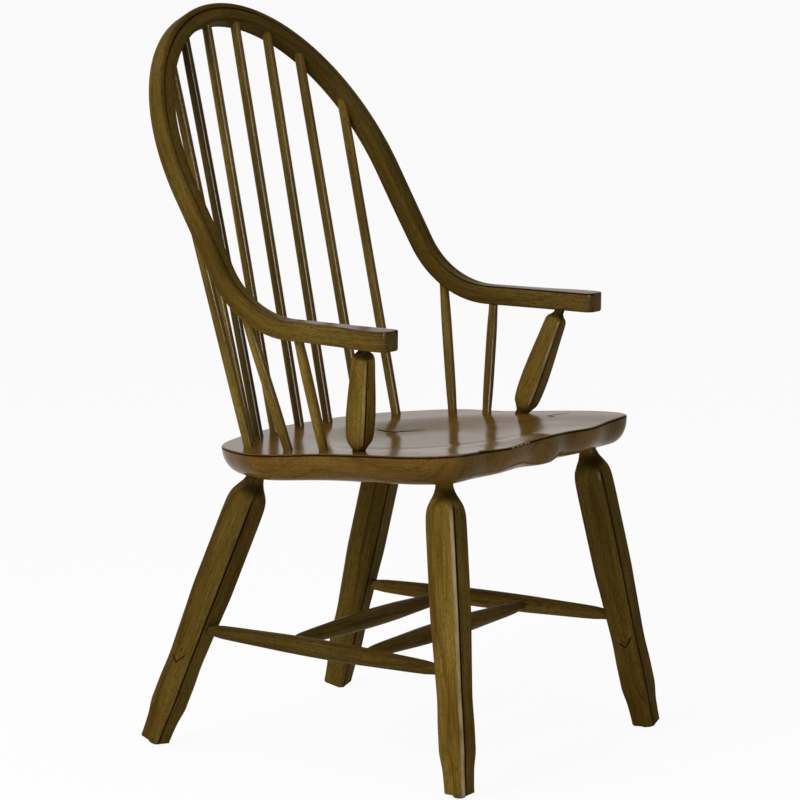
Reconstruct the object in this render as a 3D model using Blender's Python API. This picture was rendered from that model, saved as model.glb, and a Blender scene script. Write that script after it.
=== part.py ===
"""Bow back armchair.

A thick carved seat stands on four splayed legs. One bent bow is the hoop of the back and
both arms. Thin spindles and two faceted posts hold the bow above the seat, and stretchers
tie the legs together. Every piece ends in a round tenon in a drilled socket.

Metres, +Z up. The sitter faces -Y, so the sitter's right is -X. The origin is on the floor
under the middle of the chair.
"""

import math

import bmesh
import bpy
from mathutils import Matrix, Vector
from mathutils.geometry import interpolate_bezier

# Seat
SEAT_HEIGHT = 0.4638  # flat top of the plank above the origin
SEAT_SLOPE = math.radians(3.58)  # falls towards the back
SEAT_THICKNESS = 0.042
SEAT_FRONT = -0.2983  # front edge, along the plank
SEAT_BACK = 0.2102
SEAT_FRONT_HALF = 0.267  # half width at the thighs
SEAT_WAIST_HALF = 0.2555
SEAT_REAR_HALF = 0.272  # widest, beside the hips
SEAT_EDGE_RADIUS = 0.0026
SEAT_UNDERCUT = 0.038  # how far the side curves in below
SEAT_SIDE_FULLNESS = 0.8  # under 1, the side stays upright longer before it curves in
PROW_UNDERCUT = 0.022  # at the middle of the front
PROW_HALF = 0.0205
DISH_CENTRE = -0.0808
DISH_HALF_WIDTH = 0.212
DISH_HALF_LENGTH = 0.190
DISH_DEPTH = 0.0105
PROW_RISE = 0.002  # the front edge lifts between the thighs
PROW_RISE_WIDTH = 0.035
THIGH_DROP = 0.0015
THIGH_PLACE = 0.11
THIGH_WIDTH = 0.04
RIM_RISE = 0.0025  # the sides lift towards the front corners
RIM_START_HALF = 0.15  # half width at which that begins, and where it is whole
RIM_FULL_HALF = 0.23
RIM_REAR = 0.05  # along the plank, where it begins and where it is whole
RIM_FRONT = -0.20

# Legs: the foot's offset is measured from where the leg meets the underside of the seat
FRONT_LEG_INSET = (0.0693, 0.0647)  # from the seat's side and from its front edge
FRONT_LEG_SPLAY = (0.0662, -0.0694)
BACK_LEG_INSET = (0.0979, 0.1000)  # from the seat's side and from its back edge
BACK_LEG_SPLAY = (0.0673, 0.1423)
# Sides of a leg's section: by distance above the foot, by share of the length, and by
# distance below the seat with how round it has become there
LEG_LOWER_SIDES = (
    (0.000, 0.0340),
    (0.030, 0.0357),
    (0.062, 0.0410),
    (0.090, 0.0410),
    (0.130, 0.0396),
)
LEG_MIDDLE_SIDES = ((0.38, 0.0411), (0.48, 0.0433), (0.58, 0.0454))
LEG_UPPER_SIDES = (
    (0.118, 0.0464, 0.0),
    (0.078, 0.0464, 0.0),
    (0.052, 0.0458, 0.0),
    (0.038, 0.0440, 0.15),
    (0.027, 0.0385, 0.45),
    (0.016, 0.0305, 0.85),
)
LEG_STOUTNESS = {"front": 1.035, "back": 1.045}  # share of the sides above
# Each leg is turned in its socket by hand: degrees its front face looks to the left
LEG_TWIST = {"front_right": 3.5, "front_left": 5.0, "back_right": -7.0, "back_left": 7.0}
LEG_CHAMFER = 0.005
LEG_NECK_RADIUS = 0.0128
LEG_NECK_LENGTH = 0.005  # of plain round above the shoulder, below the seat
LEG_TENON_DEPTH = 0.028
LEG_SOCKET_MOUTH = 0.012  # how far below the seat a drill must start to clear its curve
# How steeply each foot's end rises outwards, across the chair and along it
FOOT_RISE = {
    "front_right": (0.0, 0.0),
    "front_left": (0.28, 0.0),
    "back_right": (0.08, 0.36),
    "back_left": (0.22, 0.28),
}
GLIDE_RADIUS = 0.0095
GLIDE_HEIGHT = 0.007
GLIDE_EDGE = 0.0035
NAIL_RADIUS = 0.0015
NAIL_LENGTH = 0.014

# Stretchers
STRETCHER_FRONT_HEIGHT = 0.173  # above the floor, at the leg's axis
STRETCHER_BACK_HEIGHT = 0.179
STRETCHER_END_RADIUS = 0.0082
STRETCHER_NEAR_LEG_RADIUS = 0.0100
SIDE_STRETCHER_RADIUS = 0.0140
CROSS_STRETCHER_RADIUS = 0.0142
CROSS_END_RADIUS = 0.0062
CROSS_HALF_SPACING = 0.067
STRETCHER_RUN = 0.0290  # straight part at an end, from the leg's axis
CROSS_RUN = 0.018  # the same, from the side stretcher's axis
CROSS_NEAR_RADIUS = 0.0090
CROSS_SHY = 0.0015  # its end stops short of the side stretcher's axis

# Bow
BACK_LEAN = math.radians(29.54)  # from upright
ARM_HEIGHT = 0.6614  # the arm's top, where the back's face would cut it
BACK_CROSSING = 0.0552  # where that is, front to back
ARM_PITCH = math.radians(0.69)
ARM_TIP = -0.2028
BEND_RADIUS = 0.133
SPRING_HEIGHT = 0.8394  # where the straight sides turn into the arch
CREST_HEIGHT = 1.0962
BOW_HALF_WIDTH = 0.2778
BOW_SIDE_WIDTH = 0.031
BOW_CREST_WIDTH = 0.0295
BOW_THICKNESS = 0.0268
ARM_THICKNESS = 0.029
BOW_EDGE_RADIUS = 0.003
HAND_CORNER_RADIUS = 0.012
# Distance from the arm's tip, then how far its outer and inner edges stand outside the
# lines of the bow's straight sides
ARM_FLARE = (
    (0.000, 0.0252, 0.0107),
    (0.018, 0.0262, 0.0107),
    (0.042, 0.0245, 0.0107),
    (0.082, 0.0150, 0.0100),
    (0.121, 0.0092, 0.0082),
    (0.170, 0.0042, 0.0062),
    (0.215, 0.0008, 0.0045),
    (0.290, 0.0000, 0.0025),
    (0.400, 0.0000, 0.0000),
)
BEAD_WIDTH = 0.0095  # the outer front edge, left of the scored line
SCORE_WIDTH = 0.0030
SCORE_DEPTH = 0.0015
SCORE_START = 0.160  # from the arm's tip
SCORE_FULL = 0.220

# Spindles
SPINDLE_RADIUS = 0.0077
SPINDLE_TENON_RADIUS = 0.0074
SPINDLE_ROW_RADIUS = 0.3046  # the row of sockets in the seat is an arc
SPINDLE_ROW_INSET = 0.0318  # from the seat's back edge
SPINDLE_SEAT_ANGLES = (6.2, 17.45, 28.7, 39.95)  # degrees from the middle
# Where each is aimed in the bow: degrees from the crest, and distance past its inner face
SPINDLE_BOW_PLACES = ((8.55, -0.0037), (25.5, -0.0026), (41.6, 0.0), (62.8, 0.0066))
ARM_SPINDLE_RADIUS = 0.0080
ARM_SPINDLE_TENON_RADIUS = 0.0070
# Place in the seat: from its rear half width and from its front edge. Place in the arm:
# from its inner edge and from its tip
ARM_SPINDLE_PLACES = {
    "front": ((0.0520, 0.2545), (0.0088, 0.1732)),
    "rear": ((0.0515, 0.3170), (0.0123, 0.2540)),
}
POST_PLACE = ((0.0510, 0.1925), (0.0095, 0.0570))
# A post's section: side, by distance above its lower neck and below its upper one, with
# how round it is there
POST_LOWER_SIDES = (
    (0.004, 0.0236, 0.8),
    (0.009, 0.0272, 0.35),
    (0.014, 0.0304, 0.1),
    (0.030, 0.0330, 0.0),
    (0.052, 0.0340, 0.0),
    (0.078, 0.0329, 0.0),
)
POST_UPPER_SIDES = (
    (0.034, 0.0290, 0.0),
    (0.012, 0.0274, 0.1),
    (0.006, 0.0248, 0.45),
    (0.002, 0.0175, 0.9),
)
POST_CHAMFER = 0.004
POST_LOWER_NECK = 0.0097
POST_UPPER_NECK = 0.0073
POST_TENON_DEPTH = 0.016

# Joints
SEAT_SOCKET_DEPTH = 0.020
BOW_SOCKET_DEPTH = 0.012  # square to the face it is drilled in
FIT = 0.0003  # clearance all round a tenon
SHY = 0.0005  # clearance at a tenon's end
NAIL_SHY = 0.001
SEAT_RUN = 0.006  # a tenon stays straight this far above the plank's flat top
BOW_RUN = 0.005  # and this far outside the bow
SPINDLE_SWELL = 0.075  # length over which a spindle fills out

# How finely round things are divided
TURNED_SIDES = 16
SEAT_POINTS = 32  # along half of the outline
ARCH_STEPS = 16  # over half of the arch
BEND_STEPS = 10

WOOD_COLOUR = (0.165, 0.095, 0.030, 1.0)
SEAT_COLOUR = (0.190, 0.110, 0.038, 1.0)
GLIDE_COLOUR = (0.030, 0.020, 0.016, 1.0)

SIDES = {"right": -1, "left": 1}


def clear_scene():
    for thing in list(bpy.data.objects):
        bpy.data.objects.remove(thing, do_unlink=True)


def make_material(name, colour, roughness, metallic=0.0):
    made = bpy.data.materials.new(name)
    made.use_nodes = True
    shader = made.node_tree.nodes["Principled BSDF"]
    shader.inputs["Base Color"].default_value = colour
    shader.inputs["Roughness"].default_value = roughness
    shader.inputs["Metallic"].default_value = metallic
    made.diffuse_color = colour
    return made


def make_object(name, shape, look, crease=30.0):
    """Turns a bmesh into an object with smooth faces and sharp edges where it bends more."""
    bmesh.ops.recalc_face_normals(shape, faces=shape.faces)
    mesh = bpy.data.meshes.new(name)
    shape.to_mesh(mesh)
    shape.free()
    mesh.shade_smooth()
    mesh.set_sharp_from_angle(angle=math.radians(crease))
    if look:
        mesh.materials.append(look)
    made = bpy.data.objects.new(name, mesh)
    bpy.context.scene.collection.objects.link(made)
    return made


def smoothstep(low, high, value):
    share = min(1.0, max(0.0, (value - low) / (high - low)))
    return share * share * (3.0 - 2.0 * share)


def through(points, value):
    """The curve through points of rising first coordinate, at value; flat beyond its ends."""
    if value <= points[0][0]:
        return points[0][1:]
    if value >= points[-1][0]:
        return points[-1][1:]
    index = max(i for i in range(len(points) - 1) if points[i][0] <= value)
    before, start, end, after = (
        points[max(0, min(len(points) - 1, i))] for i in range(index - 1, index + 3)
    )
    span = end[0] - start[0]
    share = (value - start[0]) / span
    found = []
    for axis in range(1, len(start)):
        leaving = slope_at(before, start, end, axis) * span
        arriving = slope_at(start, end, after, axis) * span
        found.append(
            start[axis] * (1 + 2 * share) * (1 - share) ** 2
            + leaving * share * (1 - share) ** 2
            + end[axis] * share**2 * (3 - 2 * share)
            - arriving * share**2 * (1 - share)
        )
    return tuple(found)


def slope_at(before, here, after, axis):
    """The slope there, level at a peak, at a dip and at the ends, so nothing overshoots."""
    if before is here or after is here:
        return 0.0
    left = (here[axis] - before[axis]) / (here[0] - before[0])
    right = (after[axis] - here[axis]) / (after[0] - here[0])
    if left * right <= 0:
        return 0.0
    return 2 * left * right / (left + right)


def loft(rings):
    """A closed solid through rings of equally many points, with flat ends."""
    shape = bmesh.new()
    rows = [[shape.verts.new(point) for point in ring] for ring in rings]
    count = len(rows[0])
    for low, high in zip(rows, rows[1:]):
        for i in range(count):
            j = (i + 1) % count
            shape.faces.new((low[i], low[j], high[j], high[i]))
    shape.faces.new(rows[0][::-1])
    shape.faces.new(rows[-1])
    return shape


def turned(profile, sides=TURNED_SIDES):
    """A solid of revolution about Z from a profile of heights and radii, with flat ends."""
    shape = bmesh.new()
    outline = [(0.0, profile[0][0])]
    outline += [(radius, height) for height, radius in profile]
    outline += [(0.0, profile[-1][0])]
    row = [shape.verts.new((radius, 0.0, height)) for radius, height in outline]
    edges = [shape.edges.new(pair) for pair in zip(row, row[1:])]
    bmesh.ops.spin(
        shape,
        geom=row + edges,
        cent=(0, 0, 0),
        axis=(0, 0, 1),
        angle=math.tau,
        steps=sides,
        use_merge=True,
    )
    bmesh.ops.remove_doubles(shape, verts=shape.verts, dist=1e-6)
    return shape


def facing(start, end):
    """The place and turn that put local Z along start to end, with local X kept across."""
    along = (end - start).normalized()
    back = along.cross(Vector((1, 0, 0))).normalized()
    across = back.cross(along)
    turn = Matrix((across, back, along)).transposed()
    return Matrix.Translation(start) @ turn.to_4x4()


def drill(target, name, start, end, radius):
    """Cuts a round socket in target along start to end."""
    length = (end - start).length
    cutter = make_object(
        f"{target.name}_socket_{name}", turned([(0.0, radius), (length, radius)]), None
    )
    cutter.matrix_world = facing(start, end)
    cutter.hide_render = True
    cutter.display_type = "WIRE"
    cut = target.modifiers.new(f"socket_{name}", "BOOLEAN")
    cut.operation = "DIFFERENCE"
    cut.solver = "EXACT"
    cut.object = cutter


# Seat

SEAT_PLACE = Matrix.Translation((0, 0, SEAT_HEIGHT)) @ Matrix.Rotation(-SEAT_SLOPE, 4, "X")


def seat_point(across, along, below=0.0):
    """A point given on the plank's flat top, in the chair's frame."""
    return SEAT_PLACE @ Vector((across, along, -below))


def seat_outline():
    """Half of the seat's rim from the middle of the front to the middle of the back."""
    corners = [
        (0.0, SEAT_FRONT),
        (0.050, SEAT_FRONT + 0.005),
        (0.115, SEAT_FRONT + 0.001),
        (0.165, SEAT_FRONT + 0.007),
        (0.2257, SEAT_FRONT + 0.010),
        (0.250, SEAT_FRONT + 0.030),
        (0.262, SEAT_FRONT + 0.059),
        (SEAT_FRONT_HALF, SEAT_FRONT + 0.099),
        (SEAT_WAIST_HALF, SEAT_FRONT + 0.240),
        (SEAT_REAR_HALF, SEAT_BACK - 0.176),
        (SEAT_REAR_HALF - 0.0293, SEAT_BACK - 0.1080),
        (SEAT_REAR_HALF - 0.087, SEAT_BACK - 0.0455),
        (0.100, SEAT_BACK - 0.0135),
        (0.0, SEAT_BACK),
    ]
    points = [Vector(corner) for corner in corners]
    mirrored = [Vector((-point.x, point.y)) for point in points]
    whole = [mirrored[1]] + points + [mirrored[-2]]
    fine = []
    for before, start, end, after in zip(whole, whole[1:], whole[2:], whole[3:]):
        reach = (end - start).length
        leaving = (end - before).normalized() * reach / 3
        arriving = (after - start).normalized() * reach / 3
        fine += interpolate_bezier(start, start + leaving, end - arriving, end, 12)[:-1]
    fine.append(points[-1])
    return evenly(fine, SEAT_POINTS)


def evenly(points, count):
    """Points spaced evenly along a chain of points, its two ends included."""
    reached = [0.0]
    for start, end in zip(points, points[1:]):
        reached.append(reached[-1] + (end - start).length)
    chosen = []
    for step in range(count + 1):
        wanted = reached[-1] * step / count
        index = max(i for i in range(len(points) - 1) if reached[i] <= wanted)
        share = (wanted - reached[index]) / (reached[index + 1] - reached[index])
        chosen.append(points[index].lerp(points[index + 1], min(1.0, share)))
    return chosen


def seat_surface(across, along):
    """Height of the carved top above the plank's flat top."""
    out = math.hypot(across / DISH_HALF_WIDTH, (along - DISH_CENTRE) / DISH_HALF_LENGTH)
    dish = -DISH_DEPTH * (1.0 - smoothstep(0.35, 1.0, out))
    at_front = smoothstep(SEAT_FRONT + 0.09, SEAT_FRONT + 0.02, along)
    prow = PROW_RISE * math.exp(-((across / PROW_RISE_WIDTH) ** 2))
    thigh = THIGH_DROP * math.exp(-(((abs(across) - THIGH_PLACE) / THIGH_WIDTH) ** 2))
    beside = smoothstep(RIM_START_HALF, RIM_FULL_HALF, abs(across))
    rim = RIM_RISE * beside * smoothstep(RIM_REAR, RIM_FRONT, along)
    return dish + at_front * (prow - thigh) + rim


def build_seat(look):
    half = seat_outline()
    rim = half + [Vector((-point.x, point.y)) for point in half[-2:0:-1]]
    count = len(rim)
    centre = Vector((0.0, DISH_CENTRE))
    inward = []
    for i in range(count):
        along = (rim[(i + 1) % count] - rim[i - 1]).normalized()
        inward.append(Vector((-along.y, along.x)))
    rings = []
    for share in (0.16, 0.34, 0.52, 0.68, 0.82, 0.93):
        ring = [centre.lerp(point, share) for point in rim]
        rings.append([(p.x, p.y, seat_surface(p.x, p.y)) for p in ring])
    for turn in (90, 45, 0):
        angle = math.radians(turn)
        inset = SEAT_EDGE_RADIUS * (1 - math.cos(angle))
        below = SEAT_EDGE_RADIUS * (1 - math.sin(angle))
        ring = [point + side * inset for point, side in zip(rim, inward)]
        rings.append([(p.x, p.y, seat_surface(p.x, p.y) - below) for p in ring])
    for turn in (22.5, 45, 67.5, 90):
        angle = math.radians(turn)
        fall = SEAT_EDGE_RADIUS + (SEAT_THICKNESS - SEAT_EDGE_RADIUS) * math.sin(angle)
        ring = []
        for point, side in zip(rim, inward):
            at_prow = smoothstep(PROW_HALF * 1.6, PROW_HALF * 0.8, abs(point.x))
            at_prow *= point.y < 0
            undercut = SEAT_UNDERCUT + (PROW_UNDERCUT - SEAT_UNDERCUT) * at_prow
            p = point + side * undercut * (1 - math.cos(angle) ** SEAT_SIDE_FULLNESS)
            edge = seat_surface(point.x, point.y) * (1 - math.sin(angle))
            ring.append((p.x, p.y, edge - fall))
        rings.append(ring)
    made = make_object("seat", loft(rings), look)
    made.matrix_world = SEAT_PLACE
    return made


# Bow

LEAN_ALONG = Vector((0, math.sin(BACK_LEAN), math.cos(BACK_LEAN)))
ARM_ALONG = Vector((0, math.cos(ARM_PITCH), math.sin(ARM_PITCH)))
CROSSING = Vector((0, BACK_CROSSING, ARM_HEIGHT))
BEND_TURN = math.pi / 2 - BACK_LEAN - ARM_PITCH
BEND_TANGENT = BEND_RADIUS * math.tan(BEND_TURN / 2)
BEND_START = (BACK_CROSSING - ARM_TIP) / math.cos(ARM_PITCH) - BEND_TANGENT
BEND_END = BEND_START + BEND_RADIUS * BEND_TURN
SPRING = BEND_END + (SPRING_HEIGHT - ARM_HEIGHT) / math.cos(BACK_LEAN) - BEND_TANGENT
ARCH_RISE = (CREST_HEIGHT - SPRING_HEIGHT) / math.cos(BACK_LEAN)


def bow_line(distance):
    """Point on the arm's top or the back's face, distance from the arm's tip measured in
    side view, and the direction into the wood there."""
    if distance < BEND_START:
        point = CROSSING + ARM_ALONG * (distance - BEND_START - BEND_TANGENT)
        turn = ARM_PITCH
    elif distance < BEND_END:
        start = CROSSING - ARM_ALONG * BEND_TANGENT
        middle = start + Vector((0, -math.sin(ARM_PITCH), math.cos(ARM_PITCH))) * BEND_RADIUS
        turn = ARM_PITCH + (distance - BEND_START) / BEND_RADIUS
        point = middle + Vector((0, math.sin(turn), -math.cos(turn))) * BEND_RADIUS
    else:
        point = CROSSING + LEAN_ALONG * (distance - BEND_END + BEND_TANGENT)
        turn = math.pi / 2 - BACK_LEAN
    return point, Vector((0, math.sin(turn), -math.cos(turn)))


def on_bow(across, distance, depth):
    point, inward = bow_line(distance)
    return Vector((across, 0, 0)) + point + inward * depth


def bow_thickness(distance):
    return ARM_THICKNESS + (BOW_THICKNESS - ARM_THICKNESS) * smoothstep(
        BEND_START, BEND_END, distance
    )


def arm_edges(distance):
    """Outer and inner edge of the left arm and the straight side above it."""
    outer, inner = through(ARM_FLARE, distance)
    return BOW_HALF_WIDTH + outer, BOW_HALF_WIDTH - BOW_SIDE_WIDTH + inner


def arch_edges(angle):
    """Outer and inner edge of the left half of the arch, as (across, distance); the angle
    is 0 at the spring and a right angle at the crest."""
    inner_half = BOW_HALF_WIDTH - BOW_SIDE_WIDTH
    inner_rise = ARCH_RISE - BOW_CREST_WIDTH
    outer = (BOW_HALF_WIDTH * math.cos(angle), SPRING + ARCH_RISE * math.sin(angle))
    inner = (inner_half * math.cos(angle), SPRING + inner_rise * math.sin(angle))
    return outer, inner


def bow_section(width, thickness, score):
    """The bow's outline as (distance from the outer edge, depth below the front face)."""
    corners = (
        (BOW_EDGE_RADIUS, BOW_EDGE_RADIUS, 180),
        (width - BOW_EDGE_RADIUS, BOW_EDGE_RADIUS, 270),
        (width - BOW_EDGE_RADIUS, thickness - BOW_EDGE_RADIUS, 0),
        (BOW_EDGE_RADIUS, thickness - BOW_EDGE_RADIUS, 90),
    )
    outline = []
    for place, depth, start in corners:
        for turn in (0, 45, 90):
            angle = math.radians(start + turn)
            outline.append(
                (
                    place + BOW_EDGE_RADIUS * math.cos(angle),
                    depth + BOW_EDGE_RADIUS * math.sin(angle),
                )
            )
        if start == 180:
            outline.append((BEAD_WIDTH - SCORE_WIDTH / 2, 0.0))
            outline.append((BEAD_WIDTH, score))
            outline.append((BEAD_WIDTH + SCORE_WIDTH / 2, 0.0))
    return outline


def bow_ring(outer, inner):
    """The section between two points of the sheet, each (across, distance)."""
    outer, inner = Vector(outer), Vector(inner)
    toward = inner - outer
    middle = (outer.y + inner.y) / 2
    score = SCORE_DEPTH * smoothstep(SCORE_START, SCORE_FULL, middle)
    ring = []
    for place, depth in bow_section(toward.length, bow_thickness(middle), score):
        across, distance = outer + toward.normalized() * place
        ring.append(on_bow(across, distance, depth))
    return ring


def half_bow_rings():
    """Rings from the left arm's tip to just short of the crest."""
    rings = []
    for turn in (0, 22.5, 45, 67.5):
        angle = math.radians(turn)
        distance = HAND_CORNER_RADIUS * (1 - math.cos(angle))
        inset = HAND_CORNER_RADIUS * (1 - math.sin(angle))
        outer, inner = arm_edges(distance)
        rings.append(bow_ring((outer - inset, distance), (inner + inset, distance)))
    places = [HAND_CORNER_RADIUS]
    places += [BEND_START * share for share in (0.15, 0.24, 0.34, 0.45, 0.56, 0.67, 0.78, 0.89)]
    places += [
        BEND_START + (BEND_END - BEND_START) * step / BEND_STEPS
        for step in range(BEND_STEPS + 1)
    ]
    places += [BEND_END + (SPRING - BEND_END) * share for share in (0.33, 0.67)]
    for distance in places:
        outer, inner = arm_edges(distance)
        rings.append(bow_ring((outer, distance), (inner, distance)))
    for step in range(ARCH_STEPS):
        rings.append(bow_ring(*arch_edges(math.pi / 2 * step / ARCH_STEPS)))
    return rings


def build_bow(look):
    left = half_bow_rings()
    crest = bow_ring(*arch_edges(math.pi / 2))
    right = [[Vector((-p.x, p.y, p.z)) for p in ring] for ring in left]
    return make_object("bow", loft(left + [crest] + right[::-1]), look)


# Straight pieces


def faceted(side, chamfer, roundness):
    """A ring of 20 points between a square with cut corners and, at roundness 1, a circle."""
    half = side / 2
    cut = half - chamfer
    ring = []
    for quarter in range(4):
        for turn in (0, 19.35, 38.7, 51.3, 70.65):
            angle = math.radians(turn)
            x, y = math.cos(angle), math.sin(angle)
            reach = min(half / max(x, y), (half + cut) / (x + y))
            reach += (half - reach) * roundness
            turned_by = angle + quarter * math.pi / 2
            ring.append((reach * math.cos(turned_by), reach * math.sin(turned_by)))
    return ring


def faceted_piece(name, stations, chamfer, start, end, look, twist=0.0, cut=None):
    """A straight piece of (distance, side, roundness) stations. Its faces are square to the
    chair before the twist, and cut is the normal of a sloping cut at the start."""
    frame = facing(start, end) @ Matrix.Rotation(math.radians(twist), 4, "Z")
    along = (end - start).normalized()
    rings = []
    for distance, side, roundness in stations:
        ring = [frame @ Vector((x, y, distance)) for x, y in faceted(side, chamfer, roundness)]
        if cut and not rings:
            ring = [p - along * ((p - start).dot(cut) / along.dot(cut)) for p in ring]
        rings.append(ring)
    return make_object(name, loft(rings), look, crease=22.0)


def round_piece(name, profile, start, end, look):
    made = make_object(name, turned(profile), look)
    made.matrix_world = facing(start, end)
    return made


def spindle_profile(length, lower, upper, body, tenon):
    """A slim round piece, straight at both ends and fuller in its middle half."""
    swell = min(SPINDLE_SWELL, (length - lower - upper) / 3)
    return [
        (0.0, tenon),
        (lower, tenon),
        (lower + swell * 0.5, tenon + (body - tenon) * 0.7),
        (lower + swell, body),
        (length - upper - swell, body),
        (length - upper - swell * 0.5, tenon + (body - tenon) * 0.7),
        (length - upper, tenon),
        (length, tenon),
    ]


def straight_run(axis, face, radius):
    """How far outside a face a tenon stays straight, so that its socket clears it."""
    lean = math.acos(min(1.0, abs(axis.dot(face))))
    return radius * math.tan(lean) + BOW_RUN


def between(seat, seat_depth, bow, face, bow_depth, radius):
    """Ends and straight runs of a piece from the seat's top to a face of the bow; seat and
    bow are where its axis meets them, face is the bow's inward direction there."""
    axis = (bow - seat).normalized()
    reach = bow_depth / axis.dot(face)
    start = seat - axis * seat_depth
    end = bow + axis * reach
    lower = seat_depth + SEAT_RUN
    upper = reach + straight_run(axis, face, radius)
    return start, end, lower, upper


def socket_both(pieces, name, start, end, lower, upper, lower_radius, upper_radius):
    """Sockets for a piece that stands between the seat and the bow."""
    axis = (end - start).normalized()
    lower_end = start - axis * SHY
    drill(pieces["seat"], name, lower_end, start + axis * lower, lower_radius + FIT)
    upper_end = end + axis * SHY
    drill(pieces["bow"], name, upper_end, end - axis * upper, upper_radius + FIT)


def build_spindles(pieces, look):
    row_centre = SEAT_BACK - SPINDLE_ROW_INSET - SPINDLE_ROW_RADIUS
    number = 0
    inner_half = BOW_HALF_WIDTH - BOW_SIDE_WIDTH
    inner_rise = ARCH_RISE - BOW_CREST_WIDTH
    for side, order in ((-1, slice(None, None, -1)), (1, slice(None))):
        for at_seat, (at_bow, past) in list(zip(SPINDLE_SEAT_ANGLES, SPINDLE_BOW_PLACES))[order]:
            number += 1
            name = f"back_spindle_{number}"
            angle = math.radians(at_seat)
            seat = seat_point(
                side * SPINDLE_ROW_RADIUS * math.sin(angle),
                row_centre + SPINDLE_ROW_RADIUS * math.cos(angle),
            )
            angle = math.radians(90 - at_bow)
            _, (across, distance) = arch_edges(angle)
            face = Vector((side * inner_rise * math.cos(angle), 0, 0))
            face = (face + LEAN_ALONG * (inner_half * math.sin(angle))).normalized()
            aim = on_bow(side * across, distance, BOW_THICKNESS / 2) + face * past
            axis = (aim - seat).normalized()
            bow = aim - axis * (past / axis.dot(face))
            start, end, lower, upper = between(
                seat, SEAT_SOCKET_DEPTH, bow, face, BOW_SOCKET_DEPTH, SPINDLE_TENON_RADIUS
            )
            profile = spindle_profile(
                (end - start).length, lower, upper, SPINDLE_RADIUS, SPINDLE_TENON_RADIUS
            )
            pieces[name] = round_piece(name, profile, start, end, look)
            radius = SPINDLE_TENON_RADIUS
            socket_both(pieces, name, start, end, lower, upper, radius, radius)


def under_arm(side, inset, distance):
    """A point on the underside of an arm and the direction up into the wood."""
    _, inner = arm_edges(distance)
    _, inward = bow_line(distance)
    return on_bow(side * (inner + inset), distance, bow_thickness(distance)), -inward


def build_arm_spindles(pieces, look):
    for side_name, side in SIDES.items():
        for place, (at_seat, at_arm) in ARM_SPINDLE_PLACES.items():
            name = f"arm_spindle_{place}_{side_name}"
            seat = seat_point(side * (SEAT_REAR_HALF - at_seat[0]), SEAT_FRONT + at_seat[1])
            arm, face = under_arm(side, *at_arm)
            start, end, lower, upper = between(
                seat, SEAT_SOCKET_DEPTH, arm, face, BOW_SOCKET_DEPTH, ARM_SPINDLE_TENON_RADIUS
            )
            length = (end - start).length
            profile = spindle_profile(
                length, lower, upper, ARM_SPINDLE_RADIUS, ARM_SPINDLE_TENON_RADIUS
            )
            pieces[name] = round_piece(name, profile, start, end, look)
            radius = ARM_SPINDLE_TENON_RADIUS
            socket_both(pieces, name, start, end, lower, upper, radius, radius)


def build_posts(pieces, look):
    for side_name, side in SIDES.items():
        name = f"arm_post_{side_name}"
        at_seat, at_arm = POST_PLACE
        seat = seat_point(side * (SEAT_REAR_HALF - at_seat[0]), SEAT_FRONT + at_seat[1])
        arm, face = under_arm(side, *at_arm)
        start, end, lower, upper = between(
            seat, SEAT_SOCKET_DEPTH, arm, face, POST_TENON_DEPTH, POST_UPPER_NECK
        )
        length = (end - start).length
        top = length - upper
        stations = [(0.0, 2 * POST_LOWER_NECK, 1.0), (lower, 2 * POST_LOWER_NECK, 1.0)]
        stations += [(lower + up, section, about) for up, section, about in POST_LOWER_SIDES]
        stations += [(top - down, section, about) for down, section, about in POST_UPPER_SIDES]
        stations += [(top, 2 * POST_UPPER_NECK, 1.0), (length, 2 * POST_UPPER_NECK, 1.0)]
        pieces[name] = faceted_piece(name, stations, POST_CHAMFER, start, end, look)
        socket_both(
            pieces, name, start, end, lower, upper, POST_LOWER_NECK, POST_UPPER_NECK
        )


# Legs and what joins them


def glide_drop(tilt):
    """Height of a foot's middle above the floor when its glide just touches."""
    flat = GLIDE_RADIUS - GLIDE_EDGE
    return GLIDE_EDGE + (GLIDE_HEIGHT - GLIDE_EDGE) * math.cos(tilt) + flat * math.sin(tilt)


def leg_lines():
    """Name, foot, top and foot-cut normal of each leg; the top is on the seat's underside."""
    lines = {}
    for end, inset, splay, edge in (
        ("front", FRONT_LEG_INSET, FRONT_LEG_SPLAY, SEAT_FRONT),
        ("back", BACK_LEG_INSET, BACK_LEG_SPLAY, SEAT_BACK),
    ):
        half = SEAT_FRONT_HALF if end == "front" else SEAT_REAR_HALF
        outward = math.copysign(1, edge)
        along = edge - outward * inset[1]
        for side_name, side in SIDES.items():
            name = f"{end}_{side_name}"
            top = seat_point(side * (half - inset[0]), along, SEAT_THICKNESS)
            rise_across, rise_along = FOOT_RISE[name]
            cut = Vector((-side * rise_across, -outward * rise_along, 1)).normalized()
            height = glide_drop(cut.angle(Vector((0, 0, 1))))
            foot = Vector((top.x + side * splay[0], top.y + splay[1], height))
            lines[name] = (foot, top, cut)
    return lines


def leg_stations(length, stoutness):
    """Stations from the foot to the tenon's end; length is foot to seat."""
    neck = 2 * LEG_NECK_RADIUS
    stations = [(up, side * stoutness, 0.0) for up, side in LEG_LOWER_SIDES]
    stations += [(length * share, side * stoutness, 0.0) for share, side in LEG_MIDDLE_SIDES]
    for down, side, about in LEG_UPPER_SIDES:
        section = neck + (side - neck) * stoutness
        stations.append((length - down, section, about))
    return stations + [(length - LEG_NECK_LENGTH, neck, 1.0), (length + LEG_TENON_DEPTH, neck, 1.0)]


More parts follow.
